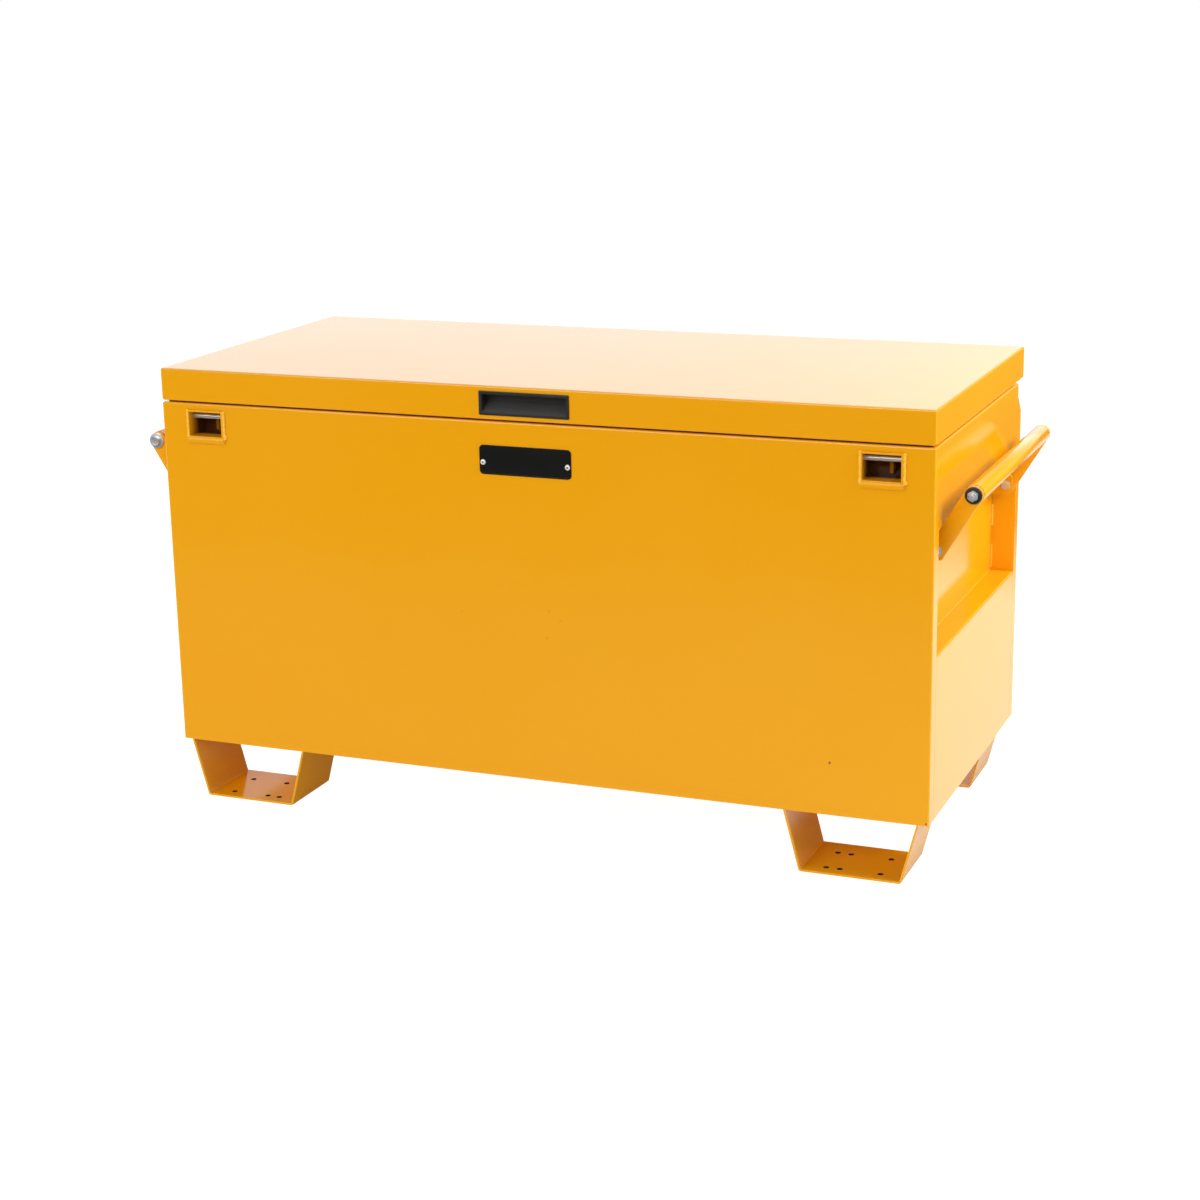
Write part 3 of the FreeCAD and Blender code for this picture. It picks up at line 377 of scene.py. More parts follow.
zinc = metal("bright_zinc", (0.80, 0.84, 0.89, 1), (0.60, 0.64, 0.70, 1), 0.36, metallic=0.8)
rivet_metal = metal("rivet_aluminium", grey(0.90), grey(0.80), 0.45, metallic=0.35)
mandrel = metal("rivet_mandrel", grey(0.06), grey(0.03), 0.50)
chrome_rod = metal("polished_rod", grey(0.82), grey(0.72), 0.08, stretch=(1, 1, 6))
spring_clip = metal("spring_clip_steel", grey(0.55), grey(0.38), 0.32)
print("finishes:", zinc.name, rivet_metal.name, mandrel.name, chrome_rod.name, spring_clip.name)

# %% Finish: plastics, rubber and black paint


def dark_finish(name, base, light, rough, fine, strength, specks=0.25, coat=0.0, lighter_facing_up=0.0):
    """A dark finish: fine sets its grain; the last weight makes the faces that look up lighter."""
    made, tree, shader = new_material(name)
    texture = place(tree, grain, Fine_Scale=fine, Broad_Scale=18.0)
    wear_and_highlight = place(tree, edge_wear_and_highlight, Width=0.0008, Patchiness=90.0, Amount=0.5)["Wear_And_Highlight"]
    spots = place(tree, dust, Size=160.0, Amount=specks)["Dust"]
    colour = blend(tree, texture["Broad"], base, light)
    colour = blend(tree, wear_and_highlight, colour, grey(light[0] * 2.2))
    colour = blend(tree, spots, colour, grey(0.35))
    # This weight makes the faces that look up lighter, towards a grey of 0.09.
    level = spread(tree, upwards(tree, "True Normal"), 0.2, 0.5, 0.0, lighter_facing_up)
    colour = blend(tree, level, colour, grey(0.09))
    tree.links.new(colour, shader.inputs["Base Color"])
    tree.links.new(spread(tree, texture["Broad"], 0.3, 0.7, rough * 0.9, rough * 1.12),
                   shader.inputs["Roughness"])
    bump = add(tree, "Bump", Strength=strength, Distance=0.0003, Height=texture["Fine"])
    tree.links.new(bump.outputs[0], shader.inputs["Normal"])
    shader.inputs["Coat Weight"].default_value = coat
    shader.inputs["Coat Roughness"].default_value = 0.15
    return made


black_plastic = dark_finish("moulded_black_plastic", grey(0.012), grey(0.022), 0.42, 1600.0, 0.35,
                            lighter_facing_up=0.4)
black_plate = dark_finish("satin_black_plate", grey(0.005), grey(0.009), 0.36, 2400.0, 0.20)
black_plate.node_tree.nodes["Principled BSDF"].inputs["Specular IOR Level"].default_value = 0.2
seal_rubber = dark_finish("foam_rubber", grey(0.020), grey(0.035), 0.85, 1900.0, 0.60)
strut_black = dark_finish("strut_black_paint", grey(0.010), grey(0.014), 0.22, 500.0, 0.06, 0.1, 0.6)
print("finishes:", black_plastic.name, black_plate.name, seal_rubber.name, strut_black.name)

# %% Dress every solid
FINISHES = {"yellow_coat": yellow_coat, "zinc_plate": zinc, "black_plastic": black_plastic,
            "black_plate": black_plate, "rivet_steel": rivet_metal, "seal_rubber": seal_rubber,
            "strut_black": strut_black, "rod_steel": chrome_rod, "clip_steel": spring_clip}
slot_of = {row["node"]: row["material_slot"] for row in frame["record"]["subparts"]}
for name, solid in nodes.items():
    solid.data.materials.clear()
    finish = FINISHES[slot_of[name]]
    # Pockets, tongues and feet get the coats with painted shade.
    if name.endswith(("lock_box", "lock_tongue")):
        finish = pocket_coat_painted_shade
    elif name.endswith("_foot"):
        finish = feet_coat_painted_hole_shade
    solid.data.materials.append(finish)
print("dressed:", len(slot_of))

# %% [markdown]
# ## Turning, bending and welding
# Most small hardware is turned on a lathe, so its mesh is half an outline
# spun about an axis.  Blender's spin does exactly that.  Every new piece is
# drawn standing on the origin, with its own axis along Z, and only then
# stood in its place, so that the numbers in its outline stay the numbers a
# fitter would measure.

# %% Helpers for new pieces
MM = 0.001


def soft_shading(bm, angle=32.0):
    """Smooth faces, but a crease wherever two faces meet at more than the angle."""
    bm.normal_update()
    for face in bm.faces:
        face.smooth = True
    for seam in bm.edges:
        seam.smooth = len(seam.link_faces) == 2 and seam.calc_face_angle(4.0) < math.radians(angle)


def build(name, bm, body, finish, slot, *stands_for, angle=32.0):
    """Makes a piece of a bmesh, on its body, and lets it stand for CAD nodes."""
    bmesh.ops.remove_doubles(bm, verts=bm.verts, dist=1e-6)
    bmesh.ops.recalc_face_normals(bm, faces=bm.faces)
    soft_shading(bm, angle)
    data = bpy.data.meshes.new(name)
    bm.to_mesh(data)
    bm.free()
    data.materials.append(finish)
    piece = bpy.data.objects.new(name, data)
    bpy.context.collection.objects.link(piece)
    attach(piece, body)
    if stands_for:
        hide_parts(*stands_for)
    return piece


def rounded(bm, picked, size, steps):
    """Rounds edges by a size in metres."""
    bmesh.ops.bevel(bm, geom=picked, offset=size, offset_type="OFFSET", segments=steps, profile=0.5,
                    affect="EDGES", material=-1, clamp_overlap=True)


def facing(along, at):
    """A place: the origin moves to a point and Z turns onto a direction."""
    lean = Vector((0, 0, 1)).rotation_difference(Vector(along)).to_matrix().to_4x4()
    return Matrix.Translation(at) @ lean


def turned(bm, outline, where, steps=36, closed=False):
    """Spins an outline of (radius, height) pairs in millimetres about Z."""
    spots = [bm.verts.new((r * MM, 0, h * MM)) for r, h in outline]
    pairs = list(zip(spots, spots[1:] + spots[:1])) if closed else list(zip(spots, spots[1:]))
    lines = [bm.edges.new(pair) for pair in pairs]
    made = bmesh.ops.spin(bm, geom=spots + lines, cent=(0, 0, 0), axis=(0, 0, 1), dvec=(0, 0, 0),
                          angle=math.tau, steps=steps, use_merge=True, use_duplicate=False)
    fresh = set(spots) | {item for item in made["geom_last"] if isinstance(item, bmesh.types.BMVert)}
    joined = set(fresh)
    while fresh:
        fresh = {other for spot in fresh for line in spot.link_edges for other in line.verts} - joined
        joined |= fresh
    bmesh.ops.transform(bm, matrix=where, verts=list(joined))


def middle(node, axis=None, end=None):
    """The centre of a solid's box, or the centre of one of its ends."""
    low, high = (Vector(v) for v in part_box(node))
    at = (low + high) / 2
    if axis is not None:
        at[axis] = (low, high)[end][axis]
    return at


print("grip centre:", [round(v, 4) for v in middle("right_grip_tube")])

# %% [markdown]
# ## Nuts, bolt heads and washers
# The handles are held by M8 hardware: a hexagon head at one end of each
# long bolt, a self-locking nut at the other.  A hexagon is a circle of six
# corners; bevelling the corner points alone gives the small triangular
# facets that a chamfering tool leaves.  The thread that peeps out of each nut
# is a row of turned grooves, because nobody can see that they don't climb.

# %% Hexagons and threads
ACROSS_FLATS, HEAD_TALL, NUT_TALL, THIN_NUT_TALL = 13, 5.3, 8, 6.5
BOLT_RADIUS, SHANK_RADIUS, WASHER_BORE = 4.0, 3.9, 4.1
PITCH, GROOVE = 1.25, 0.55


def hexagon_block(bm, tall, where, chamfer):
    """A hexagon standing on the origin, its free end chamfered at the corners."""
    ring = bmesh.ops.create_circle(bm, cap_ends=True, segments=6,
                                   radius=ACROSS_FLATS * MM / math.sqrt(3))
    foot = ring["verts"][0].link_faces[0]
    grown = bmesh.ops.extrude_face_region(bm, geom=[foot], use_keep_orig=True)["geom"]
    top = [v for v in grown if isinstance(v, bmesh.types.BMVert)]
    bmesh.ops.translate(bm, vec=(0, 0, tall * MM), verts=top)
    block = set(ring["verts"]) | set(top)
    cut = bmesh.ops.bevel(bm, geom=top, offset=chamfer * MM, offset_type="OFFSET", segments=1,
                          profile=0.5, affect="VERTICES", material=-1, clamp_overlap=True)
    block = [v for v in block | set(cut["verts"]) if v.is_valid]
    bmesh.ops.transform(bm, matrix=where, verts=block)
    return block


def thread_outline(low, high):
    """Half a section of the threaded end of a bolt, from one height to another."""
    root = BOLT_RADIUS - GROOVE
    spots, h = [(0, low), (root, low)], low
    while h + PITCH < high:
        spots += [(BOLT_RADIUS, h + PITCH * 0.35), (BOLT_RADIUS, h + PITCH * 0.5), (root, h + PITCH)]
        h += PITCH
    return spots + [(BOLT_RADIUS - 0.8, high - 0.3), (BOLT_RADIUS - 1.2, high), (0, high)]


def lock_nut(bm, along, at, tall):
    """A nut that stands on at, with the collar that grips a nylon ring."""
    where = facing(along, at)
    bore, collar = 4.8, ACROSS_FLATS / 2 - 0.9
    hexagon_block(bm, tall * 0.74, where, ACROSS_FLATS * 0.075)
    turned(bm, [(bore, tall * 0.70), (collar, tall * 0.70), (collar, tall * 0.9), (collar - 0.4, tall),
                (bore + 0.4, tall), (bore, tall * 0.93)], where, closed=True)


def bolt_head(bm, along, at):
    """A hexagon head on its washer face, with the shallow dish of a forged head."""
    where = facing(along, at)
    shoulder = ACROSS_FLATS * 0.476
    turned(bm, [(0, 0), (shoulder, 0), (shoulder, 0.6), (0, 0.6)], where)
    block = hexagon_block(bm, HEAD_TALL, where, ACROSS_FLATS * 0.088)
    crown = max((f for v in block for f in v.link_faces),
                key=lambda f: (where.inverted() @ f.calc_center_median()).z)
    bmesh.ops.inset_region(bm, faces=[crown], thickness=1.8 * MM, depth=-0.45 * MM,
                           use_even_offset=True, use_boundary=True)


def shank(bm, along, at, low, plain, high):
    """A bolt's plain shank from low to plain, and its thread from there to high."""
    turned(bm, thread_outline(plain, high), facing(along, at))
    turned(bm, [(0, low), (SHANK_RADIUS, low), (SHANK_RADIUS, plain), (0, plain)], facing(along, at))


def washer_ring(bm, along, at, outer, tall, soft):
    """A washer that grows along a direction from at, its outer rims rounded by soft."""
    turned(bm, [(WASHER_BORE, 0), (outer - soft, 0), (outer - 0.3 * soft, 0.3 * soft), (outer, soft),
                (outer, tall - soft), (outer - 0.3 * soft, tall - 0.3 * soft), (outer - soft, tall),
                (WASHER_BORE + soft * 0.4, tall), (WASHER_BORE, tall - soft * 0.4)],
           facing(along, at), steps=40, closed=True)


print("hexagons:", ACROSS_FLATS, "mm across flats")

# %% Hardware of the two grips
THREADED = 30
for side, out in (("right", -1), ("left", 1)):
    hand = side + "_handle"
    outward, inward = Vector((0, out, 0)), Vector((0, -out, 0))
    first = 0 if out > 0 else 1  # the end of a box that comes first on the way to the nut
    nut_foot = middle(side + "_grip_nut", 1, first)
    head_foot = middle(side + "_grip_zinc_washer", 1, first)
    bm = bmesh.new()
    lock_nut(bm, outward, nut_foot, NUT_TALL)
    build(side + "_grip_lock_nut", bm, hand, zinc, "zinc_plate", side + "_grip_nut")
    bm = bmesh.new()
    bolt_head(bm, inward, head_foot)
    low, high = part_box(side + "_grip_bolt")
    length = (high[1] - low[1]) / MM - HEAD_TALL
    shank(bm, outward, head_foot, 0, length - THREADED, length)
    build(side + "_grip_long_bolt", bm, hand, zinc, "zinc_plate", side + "_grip_bolt")
    bm = bmesh.new()
    washer_ring(bm, outward, middle(side + "_grip_black_washer", 1, first), 12, 3, 0.9)
    build(side + "_grip_friction_washer", bm, hand, black_plastic, "black_plastic",
          side + "_grip_black_washer")
    bm = bmesh.new()
    washer_ring(bm, inward, middle(side + "_grip_zinc_washer", 1, 1 - first), 12, 2.5, 0.4)
    build(side + "_grip_bolt_washer", bm, hand, zinc, "zinc_plate", side + "_grip_zinc_washer")
print("grip bolts:", round(length + HEAD_TALL, 1), "mm long over all")

# %% Pivot hardware, four sets
PIVOT_X, PIVOT_Z = 0.592, 0.476
HEAD_AT, WASHER_AT, WASHER_TALL = 213, 225.3, 1.6
for side, s in (("right", 1), ("left", -1)):
    low, high = (Vector(v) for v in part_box(side + "_handle_pivot_bolts"))
    mid_y, half = (low.y + high.y) / 2, (high.y - low.y) / 2 / MM
    heads, nuts, rings = bmesh.new(), bmesh.new(), bmesh.new()
    for end in (1, -1):
        outward, inward = Vector((0, end, 0)), Vector((0, -end, 0))
        pivot = Vector((s * PIVOT_X, mid_y, PIVOT_Z))
        face = pivot + outward * HEAD_AT * MM
        bolt_head(heads, inward, face)
        shank(heads, outward, face, -0.5, 8, half - HEAD_AT)
        seat = pivot + outward * WASHER_AT * MM
        washer_ring(rings, outward, seat, 8.5, WASHER_TALL, 0.3)
        lock_nut(nuts, outward, seat + outward * WASHER_TALL * MM, THIN_NUT_TALL)
    build(side + "_pivot_bolt_set", heads, "body", zinc, "zinc_plate", side + "_handle_pivot_bolts")
    build(side + "_pivot_lock_nuts", nuts, "body", zinc, "zinc_plate", side + "_handle_pivot_nuts")
    build(side + "_pivot_washer_set", rings, "body", zinc, "zinc_plate", side + "_handle_pivot_washers")
print("pivot bolts: ends", round(2 * half), "mm apart")

# %% [markdown]
# ## Grip tubes, end plugs and arms
# The grip is a length of tube sawn and deburred, so both its rims are
# slightly round.  The arms are flat bar with round ends: a circle whose upper
# half is pulled up to the other hole, which leaves a shape with two straight
# sides.  Filling that outline together with its two bolt circles leaves the
# holes open.

# %% Tubes and plugs
for side in ("right", "left"):
    hand = side + "_handle"
    low, high = (Vector(v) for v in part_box(side + "_grip_tube"))
    long = (high.y - low.y) / MM
    foot = middle(side + "_grip_tube", 1, 0)
    bm = bmesh.new()
    turned(bm, [(11.2, 0), (12.7, 0), (13.3, 0.25), (13.5, 0.8), (13.5, long - 0.8),
                (13.3, long - 0.25), (12.7, long), (11.2, long), (11.0, long - 0.3), (11.0, 0.3)],
           facing((0, 1, 0), foot), 56, closed=True)
    build(side + "_grip_tube_deburred", bm, hand, yellow_coat, "yellow_coat", side + "_grip_tube")
    bm = bmesh.new()
    for end, at in ((-1, low.y), (1, high.y)):
        seat = Vector((foot.x, at, foot.z))
        turned(bm, [(WASHER_BORE, 1.5), (11.6, 1.5), (12.6, 1.2), (12.9, 0.6), (12.6, 0.05),
                    (10.8, 0.05), (10.6, -0.6), (10.6, -11.6), (10.2, -12), (WASHER_BORE, -12)],
               facing((0, end, 0), seat), 44, closed=True)
    build(side + "_grip_end_plugs", bm, hand, black_plastic, "black_plastic", side + "_grip_plugs")
print("tube length:", round(long, 1), "mm")

# %% Arms
ARM_WIDE, ARM_REACH, ARM_THICK, ARM_HOLE = 26, 95.4, 6, 8.16
SHARP = 1.2
LEAN = math.radians(31.4)


def flat_bar(bm, where):
    """A flat bar with round ends and two holes, from the origin up the local Y axis."""
    far_hole = Vector((0, ARM_REACH * MM, 0))
    rim = bmesh.ops.create_circle(bm, cap_ends=False, segments=48, radius=ARM_WIDE / 2 * MM)["verts"]
    half_step = Matrix.Rotation(math.radians(3.75), 3, "Z")
    bmesh.ops.rotate(bm, cent=(0, 0, 0), matrix=half_step, verts=rim)
    bmesh.ops.translate(bm, vec=far_hole, verts=[v for v in rim if v.co.y > 0])
    spots = list(rim)
    for centre in (Vector((0, 0, 0)), far_hole):
        spots += bmesh.ops.create_circle(bm, cap_ends=False, segments=24, radius=ARM_HOLE / 2 * MM,
                                         matrix=Matrix.Translation(centre))["verts"]
    outline = list({line for v in spots for line in v.link_edges})
    filled = bmesh.ops.triangle_fill(bm, use_beauty=True, use_dissolve=False, edges=outline)["geom"]
    flat = [f for f in filled if isinstance(f, bmesh.types.BMFace)]
    grown = bmesh.ops.extrude_face_region(bm, geom=flat, use_keep_orig=True)["geom"]
    top = [v for v in grown if isinstance(v, bmesh.types.BMVert)]
    bmesh.ops.translate(bm, vec=(0, 0, ARM_THICK * MM), verts=top)
    bm.normal_update()

    def from_hole(v):
        centre = Vector((0, 0)) if v.co.y < far_hole.y / 2 else far_hole.xy
        return (v.co.xy - centre).length

    rims = [line for line in {line for v in spots + top for line in v.link_edges}
            if len(line.link_faces) == 2 and line.calc_face_angle(0) > SHARP
            and max(from_hole(v) for v in line.verts) > ARM_HOLE * 0.8 * MM]
    rounded(bm, rims, 0.8 * MM, 2)
    bmesh.ops.transform(bm, matrix=where, verts=bm.verts)


upright = Matrix.Rotation(math.pi / 2, 4, "X")
for side, s in (("right", 1), ("left", -1)):
    for end in ("front", "rear"):
        node = side + "_" + end + "_arm"
        low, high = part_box(node)
        bm = bmesh.new()
        pivot = Matrix.Translation((s * PIVOT_X, high[1], PIVOT_Z))
        flat_bar(bm, pivot @ Matrix.Rotation(s * LEAN, 4, "Y") @ upright)
        build(node + "_flat_bar", bm, side + "_handle", yellow_coat, "yellow_coat", node)
print("arms lean", round(math.degrees(LEAN), 1), "degrees")

# %% [markdown]
# ## The pull handle and the name plate
# The pull is one moulding pushed into a window in the lid's skirt.  Its floor
# slopes up and inwards, so the fingers slide in and hook behind the upper
# rim.  It starts as a plain block: the front is inset twice, once for the
# flat rim and once for the small step inside it, and then pushed in, with the
# bottom edge of the pocket lifted to make the slope.

# %% Pull handle
FLANGE, RIM, STEP, POCKET_DEEP = 1.8 * MM, 4.4 * MM, 0.6 * MM, 17.8 * MM
PULL_WALL, FLOOR_RISE, TAPER = 3.4 * MM, 12.5 * MM, 0.985


def slab(bm, low, high):
    """A plain block between two corners."""
    size = high - low
    where = Matrix.Translation((low + high) / 2) @ Matrix.Diagonal((size.x, size.y, size.z, 1))
    bmesh.ops.create_cube(bm, size=1.0, matrix=where)
    bm.normal_update()


def edges_through(bm):
    """The edges of a slab that run from its front to its back."""
    return [e for e in bm.edges if abs(e.verts[0].co.y - e.verts[1].co.y) > 0.001]


def push(face, thickness, move):
    """Insets a face, and pushes what is left of it along Y."""
    bmesh.ops.inset_region(bm, faces=[face], thickness=thickness, depth=0.0, use_even_offset=True,
                           use_boundary=True)
    grown = bmesh.ops.extrude_discrete_faces(bm, faces=[face])["faces"][0]
    bmesh.ops.translate(bm, vec=(0, move, 0), verts=grown.verts)
    return grown


low, high = (Vector(v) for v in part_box("pull_handle"))
bm = bmesh.new()
slab(bm, low, Vector((high.x, low.y + FLANGE, high.z)))
front = min(bm.faces, key=lambda f: f.calc_center_median().y)
rear = max(bm.faces, key=lambda f: f.calc_center_median().y)
outer_corners = edges_through(bm)
push(rear, PULL_WALL, high.y - low.y - FLANGE)
floor_face = push(front, RIM, 0.9 * MM)
floor_face = push(floor_face, STEP, POCKET_DEEP)
floor_z = min(v.co.z for v in floor_face.verts)
for spot in floor_face.verts:
    if spot.co.z < floor_z + 0.001:
        spot.co.z += FLOOR_RISE
        spot.co.x *= TAPER
rounded(bm, outer_corners, 1.6 * MM, 3)
bm.normal_update()
outer_rim = [e for e in bm.edges if all(abs(v.co.y - low.y) < 1e-5 for v in e.verts) and
             len(e.link_faces) == 2 and e.calc_face_angle(0) > SHARP]
rounded(bm, outer_rim, 0.35 * MM, 2)
build("pull_handle_moulding", bm, "lid", black_plastic, "black_plastic", "pull_handle", angle=28)
print("pull:", round((high.x - low.x) / MM), "x", round((high.z - low.z) / MM), "mm")

# %% [markdown]
# The plate is a thin pressing with a raised border and a bare field, held by
# two pop rivets.  A pop rivet has a low dome with the broken mandrel showing
# in a small crater, which catches the light as a dark dot.

# %% Name plate and rivets
low, high = (Vector(v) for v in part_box("name_plate"))
bm = bmesh.new()
slab(bm, low, high)
rounded(bm, edges_through(bm), 6 * MM, 8)
bm.normal_update()
front = min(bm.faces, key=lambda f: f.calc_center_median().y)
edge_ring = list(front.edges)
for border, drop in ((1.6, 0.0), (0.5, -0.45)):
    bmesh.ops.inset_region(bm, faces=[front], thickness=border * MM, depth=drop * MM,
                           use_even_offset=True, use_boundary=True)
rounded(bm, edge_ring, 0.45 * MM, 2)
build("name_plate_pressing", bm, "body", black_plate, "black_plate", "name_plate", angle=20)
RIVET_X, PLATE_FACE, RIVET_Z = 0.066, -0.27395, 0.5685
domes, stubs = bmesh.new(), bmesh.new()
for x in (-RIVET_X, RIVET_X):
    seat = facing((0, -1, 0), Vector((x, PLATE_FACE, RIVET_Z)))
    turned(domes, [(0, 0.9), (1.15, 0.9), (1.3, 0.55), (1.45, 1.55), (2.0, 1.95), (3.0, 1.55),
                   (3.8, 0.8), (4.2, 0.1), (4.2, -0.4), (0, -0.4)], seat, 28)
    turned(stubs, [(0, 1.3), (0.9, 1.2), (1.2, 1.0), (1.2, 0.5), (0, 0.5)], seat, 20)
build("name_plate_pop_rivets", domes, "body", rivet_metal, "rivet_steel", "name_plate_rivets", angle=40)
build("name_plate_rivet_mandrels", stubs, "body", mandrel, "rivet_steel", angle=40)
print("plate:", round((high.x - low.x) / MM), "x", round((high.z - low.z) / MM), "mm")

# %% [markdown]
# ## Weld beads
# Where the pocket frames, the recess ends and the feet are joined, the welder
# leaves a row of overlapping ripples, and the powder flows over them.  A bead
# here is a chain of small flattened balls with a little wander.  Sculpting
# would look richer up close, but a chain follows any seam and costs little.

# %% One bead
ball = bpy.data.meshes.new("weld_ripple")
bm = bmesh.new()
bmesh.ops.create_uvsphere(bm, u_segments=12, v_segments=7, radius=1.0)
bm.to_mesh(ball)
bm.free()


def bead(bm, start, end, size, seed):
    """A chain of flattened balls from start to end; size is the half width in millimetres."""
    dice = random.Random(seed)
    start, end = Vector(start), Vector(end)
    along = (end - start).normalized()
    count = max(2, round((end - start).length / (size * 0.55 * MM)))
    lie = along.to_track_quat("X", "Z").to_matrix().to_4x4()
    for i in range(count + 1):
        spot = start.lerp(end, i / count)
        spot += Vector([dice.uniform(-0.12, 0.12) * size * MM for axis in range(3)])
        r = size * MM * dice.uniform(0.82, 1.15)
        where = Matrix.Translation(spot) @ lie @ Matrix.Diagonal((r * 0.7, r, r, 1))
        copy = ball.copy()
        copy.transform(where)
        bm.from_mesh(copy)
        bpy.data.meshes.remove(copy)


print("ripple:", len(ball.polygons), "faces")

# %% Beads at the pockets, up both sides and a blob under each side
POCKET_LEFT, POCKET_RIGHT, PANEL_FACE = 0.4975, 0.5535, -0.2740
pockets = bmesh.new()
for s, seed in ((1, 11), (-1, 23)):
    left, right = (POCKET_LEFT, POCKET_RIGHT) if s > 0 else (-POCKET_RIGHT, -POCKET_LEFT)
    for x, seed_x in ((left - 0.0022, seed), (right + 0.0040, seed + 1)):
        bead(pockets, (x, PANEL_FACE, 0.581), (x, PANEL_FACE, 0.6185), 2.2, seed_x)
    for x, seed_x in ((left - 0.0024, seed + 2), (right + 0.0052, seed + 3)):
        bead(pockets, (x, PANEL_FACE + 0.0002, 0.5770), (x, PANEL_FACE + 0.0002, 0.5800), 2.7, seed_x)
made = build("pocket_weld_beads", pockets, "body", bead_coat_painted_highlight, "yellow_coat", angle=50)
print(made.name, len(made.data.polygons))

# %% Beads inside the recesses, three stitches at each end
RECESS_WALL, FRONT_END, REAR_END = 0.5645, -0.2488, 0.2408
STITCHES = ((0.336, 0.372), (0.404, 0.436), (0.470, 0.509))
recess = bmesh.new()
for s, seed in ((1, 41), (-1, 57)):
    x = s * RECESS_WALL
    for y, seed_y in ((FRONT_END, seed), (REAR_END, seed + 1)):
        for part, (z0, z1) in enumerate(STITCHES):
            bead(recess, (x, y, z0), (x, y, z1), 1.5, seed_y + 7 * part)
made = build("recess_weld_beads", recess, "body", bead_coat_painted_highlight, "yellow_coat", angle=50)
print(made.name, len(made.data.polygons))

# %% Beads above the feet, three stitches on each web
INNER_WEB, OUTER_WEB, WEB_TOP = 0.3895, 0.5835, 0.0895
FRONT_WEB, REAR_WEB = (-0.262, -0.166), (0.159, 0.255)
STITCH = 0.018
feet = bmesh.new()
for sx in (1, -1):
    for y0, y1 in (FRONT_WEB, REAR_WEB):
        for x in (INNER_WEB, OUTER_WEB):
            for part in range(3):
                at = y0 + (y1 - y0) * (0.08 + 0.33 * part)
                bead(feet, (sx * x, at, WEB_TOP), (sx * x, at + STITCH, WEB_TOP), 1.8, 70 + part)
made = build("foot_weld_beads", feet, "body", bead_coat_painted_highlight, "yellow_coat", angle=50)
print(made.name, len(made.data.polygons))

# %% [markdown]
# ## What use leaves behind
# Even a new box has a few specks of grit under the film, and a small drain
# hole that the powder didn't bridge.  They are tiny lentils sunk into the
# sheet, dark brown, with their own slightly rough finish; the lentil at the
# drain hole is painted shade, where the hole is dark.

# %% Specks, and painted shade at the drain hole
grit_and_hole_shade, tree, shader = new_material("grit_and_drain_hole_shade")
texture = place(tree, grain, Fine_Scale=1500.0, Broad_Scale=400.0)
tree.links.new(blend(tree, texture["Broad"], (0.10, 0.035, 0.004, 1), (0.26, 0.11, 0.015, 1)),
               shader.inputs["Base Color"])
tree.links.new(spread(tree, texture["Fine"], 0.3, 0.7, 0.35, 0.6), shader.inputs["Roughness"])
SPECKS = ((0.4560, 0.1690, 1.6), (0.0310, 0.3530, 0.8), (0.0490, 0.3400, 0.7), (0.0275, 0.3120, 0.8))
# The drain hole's lentil is painted shade.
DRAIN_HOLE_PAINTED_SHADE = (0.5960, 0.0945, 1.3)
JUST_UNDER_FACE, SPECK_DEEP = -0.27302, 0.35
bm = bmesh.new()
for x, z, r in SPECKS + (DRAIN_HOLE_PAINTED_SHADE,):
    lentil = Matrix.Diagonal((r * MM, SPECK_DEEP * MM, r * 1.3 * MM, 1))
    bmesh.ops.create_icosphere(bm, subdivisions=2, radius=1.0,
                               matrix=Matrix.Translation((x, JUST_UNDER_FACE, z)) @ lentil)
build("grit_specks_and_drain_hole_shade", bm, "body", grit_and_hole_shade, "yellow_coat", angle=60)
print("specks:", len(SPECKS), "and one drain hole")

# %% [markdown]
# ## The studio
# A white sweep, a large soft light before the box, weaker ones at its sides,
# back and top, and a brighter pool of light on the floor behind it.  Glossy
# paint shows its surroundings: the lid mirrors the backdrop and turns almost
# white, while the front mirrors the floor before it, which is kept dimmer by
# black flags, so that it stays a deep gold.  The world colour stands for the
# sweep and the flags, because soft surroundings cost far less to render than
# real cards.

# %% Sweep and flags
WARM_WHITE = (1.0, 0.97, 0.93, 1.0)
scene = bpy.context.scene
scene.view_settings.view_transform = "Standard"
world = bpy.data.worlds.new("studio_sweep")
scene.world = world
world.use_nodes = True
tree = world.node_tree
tree.nodes.clear()
toward = add(tree, "TexCoord").outputs["Generated"]
axes = add(tree, "SeparateXYZ", Vector=toward).outputs
backdrop = spread(tree, axes["Y"], -0.75, 0.75, 0.75, 1.68)
flags = math_node(tree, "MAXIMUM", spread(tree, axes["X"], -0.10, 0.22, 1.0, 0.25),
                  spread(tree, axes["Y"], 0.35, 0.60, 1.0, 0.0))
dimmer_above = spread(tree, axes["Z"], 0.19, 0.34, 1.0, 0.50)
overhead = spread(tree, axes["Z"], 0.45, 0.80, 0.0, 1.3)
mirrored = math_node(tree, "ADD", product(tree, backdrop, flags, dimmer_above), overhead)
ring = product(tree, spread(tree, axes["Z"], 0.0, 0.15, 0.45, 0.90),
               spread(tree, axes["Z"], 0.62, 0.82, 1.0, 0.0))
rays = add(tree, "LightPath").outputs
soft = add(tree, "Background", Color=(1.0, 0.985, 0.96, 1.0), Strength=ring)
seen = add(tree, "Background", Color=grey(1.0), Strength=1.0)
glossy = add(tree, "Background", Color=WARM_WHITE, Strength=mirrored)
lighting = add(tree, "MixShader", Fac=rays["Is Glossy Ray"], i1=soft.outputs[0], i2=glossy.outputs[0])
shown = add(tree, "MixShader", Fac=rays["Is Camera Ray"], i1=lighting.outputs[0], i2=seen.outputs[0])
add(tree, "OutputWorld", Surface=shown.outputs[0])
print("world:", world.name)

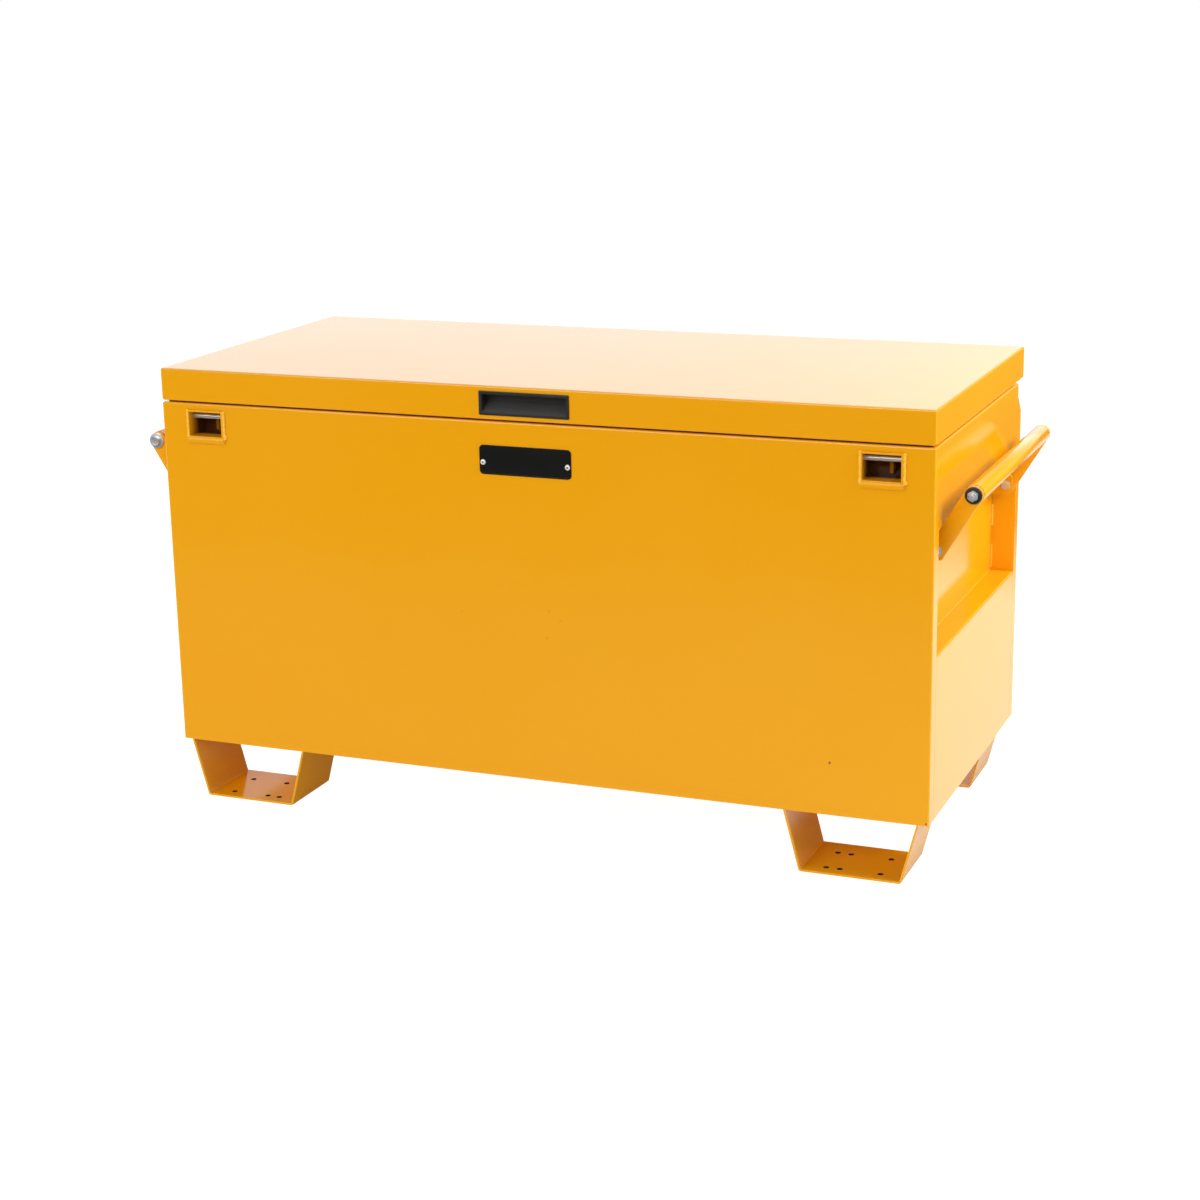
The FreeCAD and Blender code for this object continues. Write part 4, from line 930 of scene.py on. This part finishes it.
# %% Floor
bm = bmesh.new()
bmesh.ops.create_grid(bm, x_segments=4, y_segments=4, size=30.0)
bmesh.ops.recalc_face_normals(bm, faces=bm.faces)
sheet = bpy.data.meshes.new("studio_floor")
bm.to_mesh(sheet)
bm.free()
floor = bpy.data.objects.new("studio_floor", sheet)
bpy.context.collection.objects.link(floor)
floor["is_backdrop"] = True
made, tree, shader = new_material("white_sweep")
shader.inputs["Base Color"].default_value = grey(0.50)
shader.inputs["Roughness"].default_value = 0.7
shader.inputs["Emission Color"].default_value = grey(1.0)
shader.inputs["Emission Strength"].default_value = 0.2
rays = add(tree, "LightPath").outputs
at = object_axes(tree)
sideways = math_node(tree, "ABSOLUTE", at["X"])
floor.data.materials.append(made)
print("floor:", floor.name)

# %% What glossy paint mirrors: a bright pool behind the box, a dim floor before it
beside = product(tree, spread(tree, sideways, 0.53, 0.61),
                 spread(tree, at["Y"], 1.25, 1.95, 1.20, 0.06))
far_floor = product(tree, spread(tree, at["Y"], 1.9, 2.3),
                    spread(tree, at["X"], 0.70, 0.85, 1.1, 0.0))
lit_back = math_node(tree, "MAXIMUM", math_node(tree, "MAXIMUM", beside, far_floor), 0.08)
lit_front = spread(tree, at["Y"], -2.2, -0.45, 0.0, 0.34)
ahead = spread(tree, at["Y"], -0.40, -0.28, 1.0, 0.0)
behind = math_node(tree, "SUBTRACT", 1.0, ahead)
mirrored = math_node(tree, "ADD", product(tree, lit_front, ahead), product(tree, lit_back, behind))
glow = add(tree, "Emission", Color=WARM_WHITE, Strength=mirrored)
lighting = add(tree, "MixShader", Fac=rays["Is Glossy Ray"], i1=shader.outputs[0], i2=glow.outputs[0])
print("mirrored floor:", len(tree.nodes), "nodes so far")

# %% What the viewer sees: white paper, with painted shade where the feet's pads cover it
PAPER_GREY, SHADED_PAPER = grey(0.35), (0.10, 0.05, 0.02, 1.0)
PAPER_GLOW, SHADED_GLOW = 0.95, 0.015
FRONT_PAD_Y, REAR_PAD_Y = -0.214, 0.207
PAD_REACH_X, PAD_REACH_Y = 0.072, 0.056


def under_pads(value, middle, reach):
    """1 under the pads along one axis, fading to 0 over 2 mm at their edge; it places the painted
    shade.
    """
    return spread(tree, away_from(tree, value, middle), reach, reach + 0.002, 1.0, 0.0)


front_or_rear = math_node(tree, "ADD", under_pads(at["Y"], FRONT_PAD_Y, PAD_REACH_Y),
                          under_pads(at["Y"], REAR_PAD_Y, PAD_REACH_Y))
pad_painted_shade = product(tree, under_pads(sideways, PAD_MIDDLE_X, PAD_REACH_X), front_or_rear)
# Painted shade under the pads: the paper there is dark and hardly glows.
lift = add(tree, "Emission", Color=grey(1.0),
           Strength=spread(tree, pad_painted_shade, 0, 1, PAPER_GLOW, SHADED_GLOW))
paper = add(tree, "BsdfDiffuse", Color=blend(tree, pad_painted_shade, PAPER_GREY, SHADED_PAPER))
both = add(tree, "AddShader", i0=paper.outputs[0], i1=lift.outputs[0])
shown = add(tree, "MixShader", Fac=rays["Is Camera Ray"], i1=lighting.outputs[0], i2=both.outputs[0])
tree.links.new(shown.outputs[0], tree.nodes["Material Output"].inputs["Surface"])
print("floor finish:", len(tree.nodes), "nodes")

# %% Soft lights


def soft_light(name, at, aim, size, power, mirrored=False):
    """A soft box in watts; only a mirrored one shows in the gloss of the paint."""
    lamp = bpy.data.lights.new(name, "AREA")
    lamp.shape = "RECTANGLE"
    lamp.size, lamp.size_y = size
    lamp.energy = power
    lamp.color = (1.0, 0.98, 0.95)
    made = bpy.data.objects.new(name, lamp)
    toward = Vector(aim) - Vector(at)
    made.matrix_world = Matrix.Translation(at) @ toward.to_track_quat("-Z", "Y").to_matrix().to_4x4()
    bpy.context.collection.objects.link(made)
    made.visible_glossy = mirrored
    made.visible_camera = False


soft_light("key_light", (-1.2, -3.6, 2.6), (0, 0, 0.3), (2.6, 1.8), 59, True)
soft_light("top_light", (0.2, 0.2, 3.4), (0, 0, 0.5), (3.0, 2.2), 1)
soft_light("side_light", (1.50, 0.10, 1.20), (1.25, 0.10, 0.40), (1.3, 0.55), 24)
soft_light("back_light", (-0.3, 2.1, 0.50), (-0.1, 0.28, 0.42), (2.6, 0.30), 16)
soft_light("left_light", (-1.9, 0.1, 0.48), (-0.6, 0.05, 0.42), (1.3, 0.35), 9)
soft_light("floor_bounce", (0, -0.95, 0.12), (0, -0.27, 0.12), (2.4, 0.2), 1.2)
print("lights:", len(bpy.data.lights))

# %% Measure, then finish
low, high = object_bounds()
print("visual box:", [round(v, 4) for v in low], [round(v, 4) for v in high])
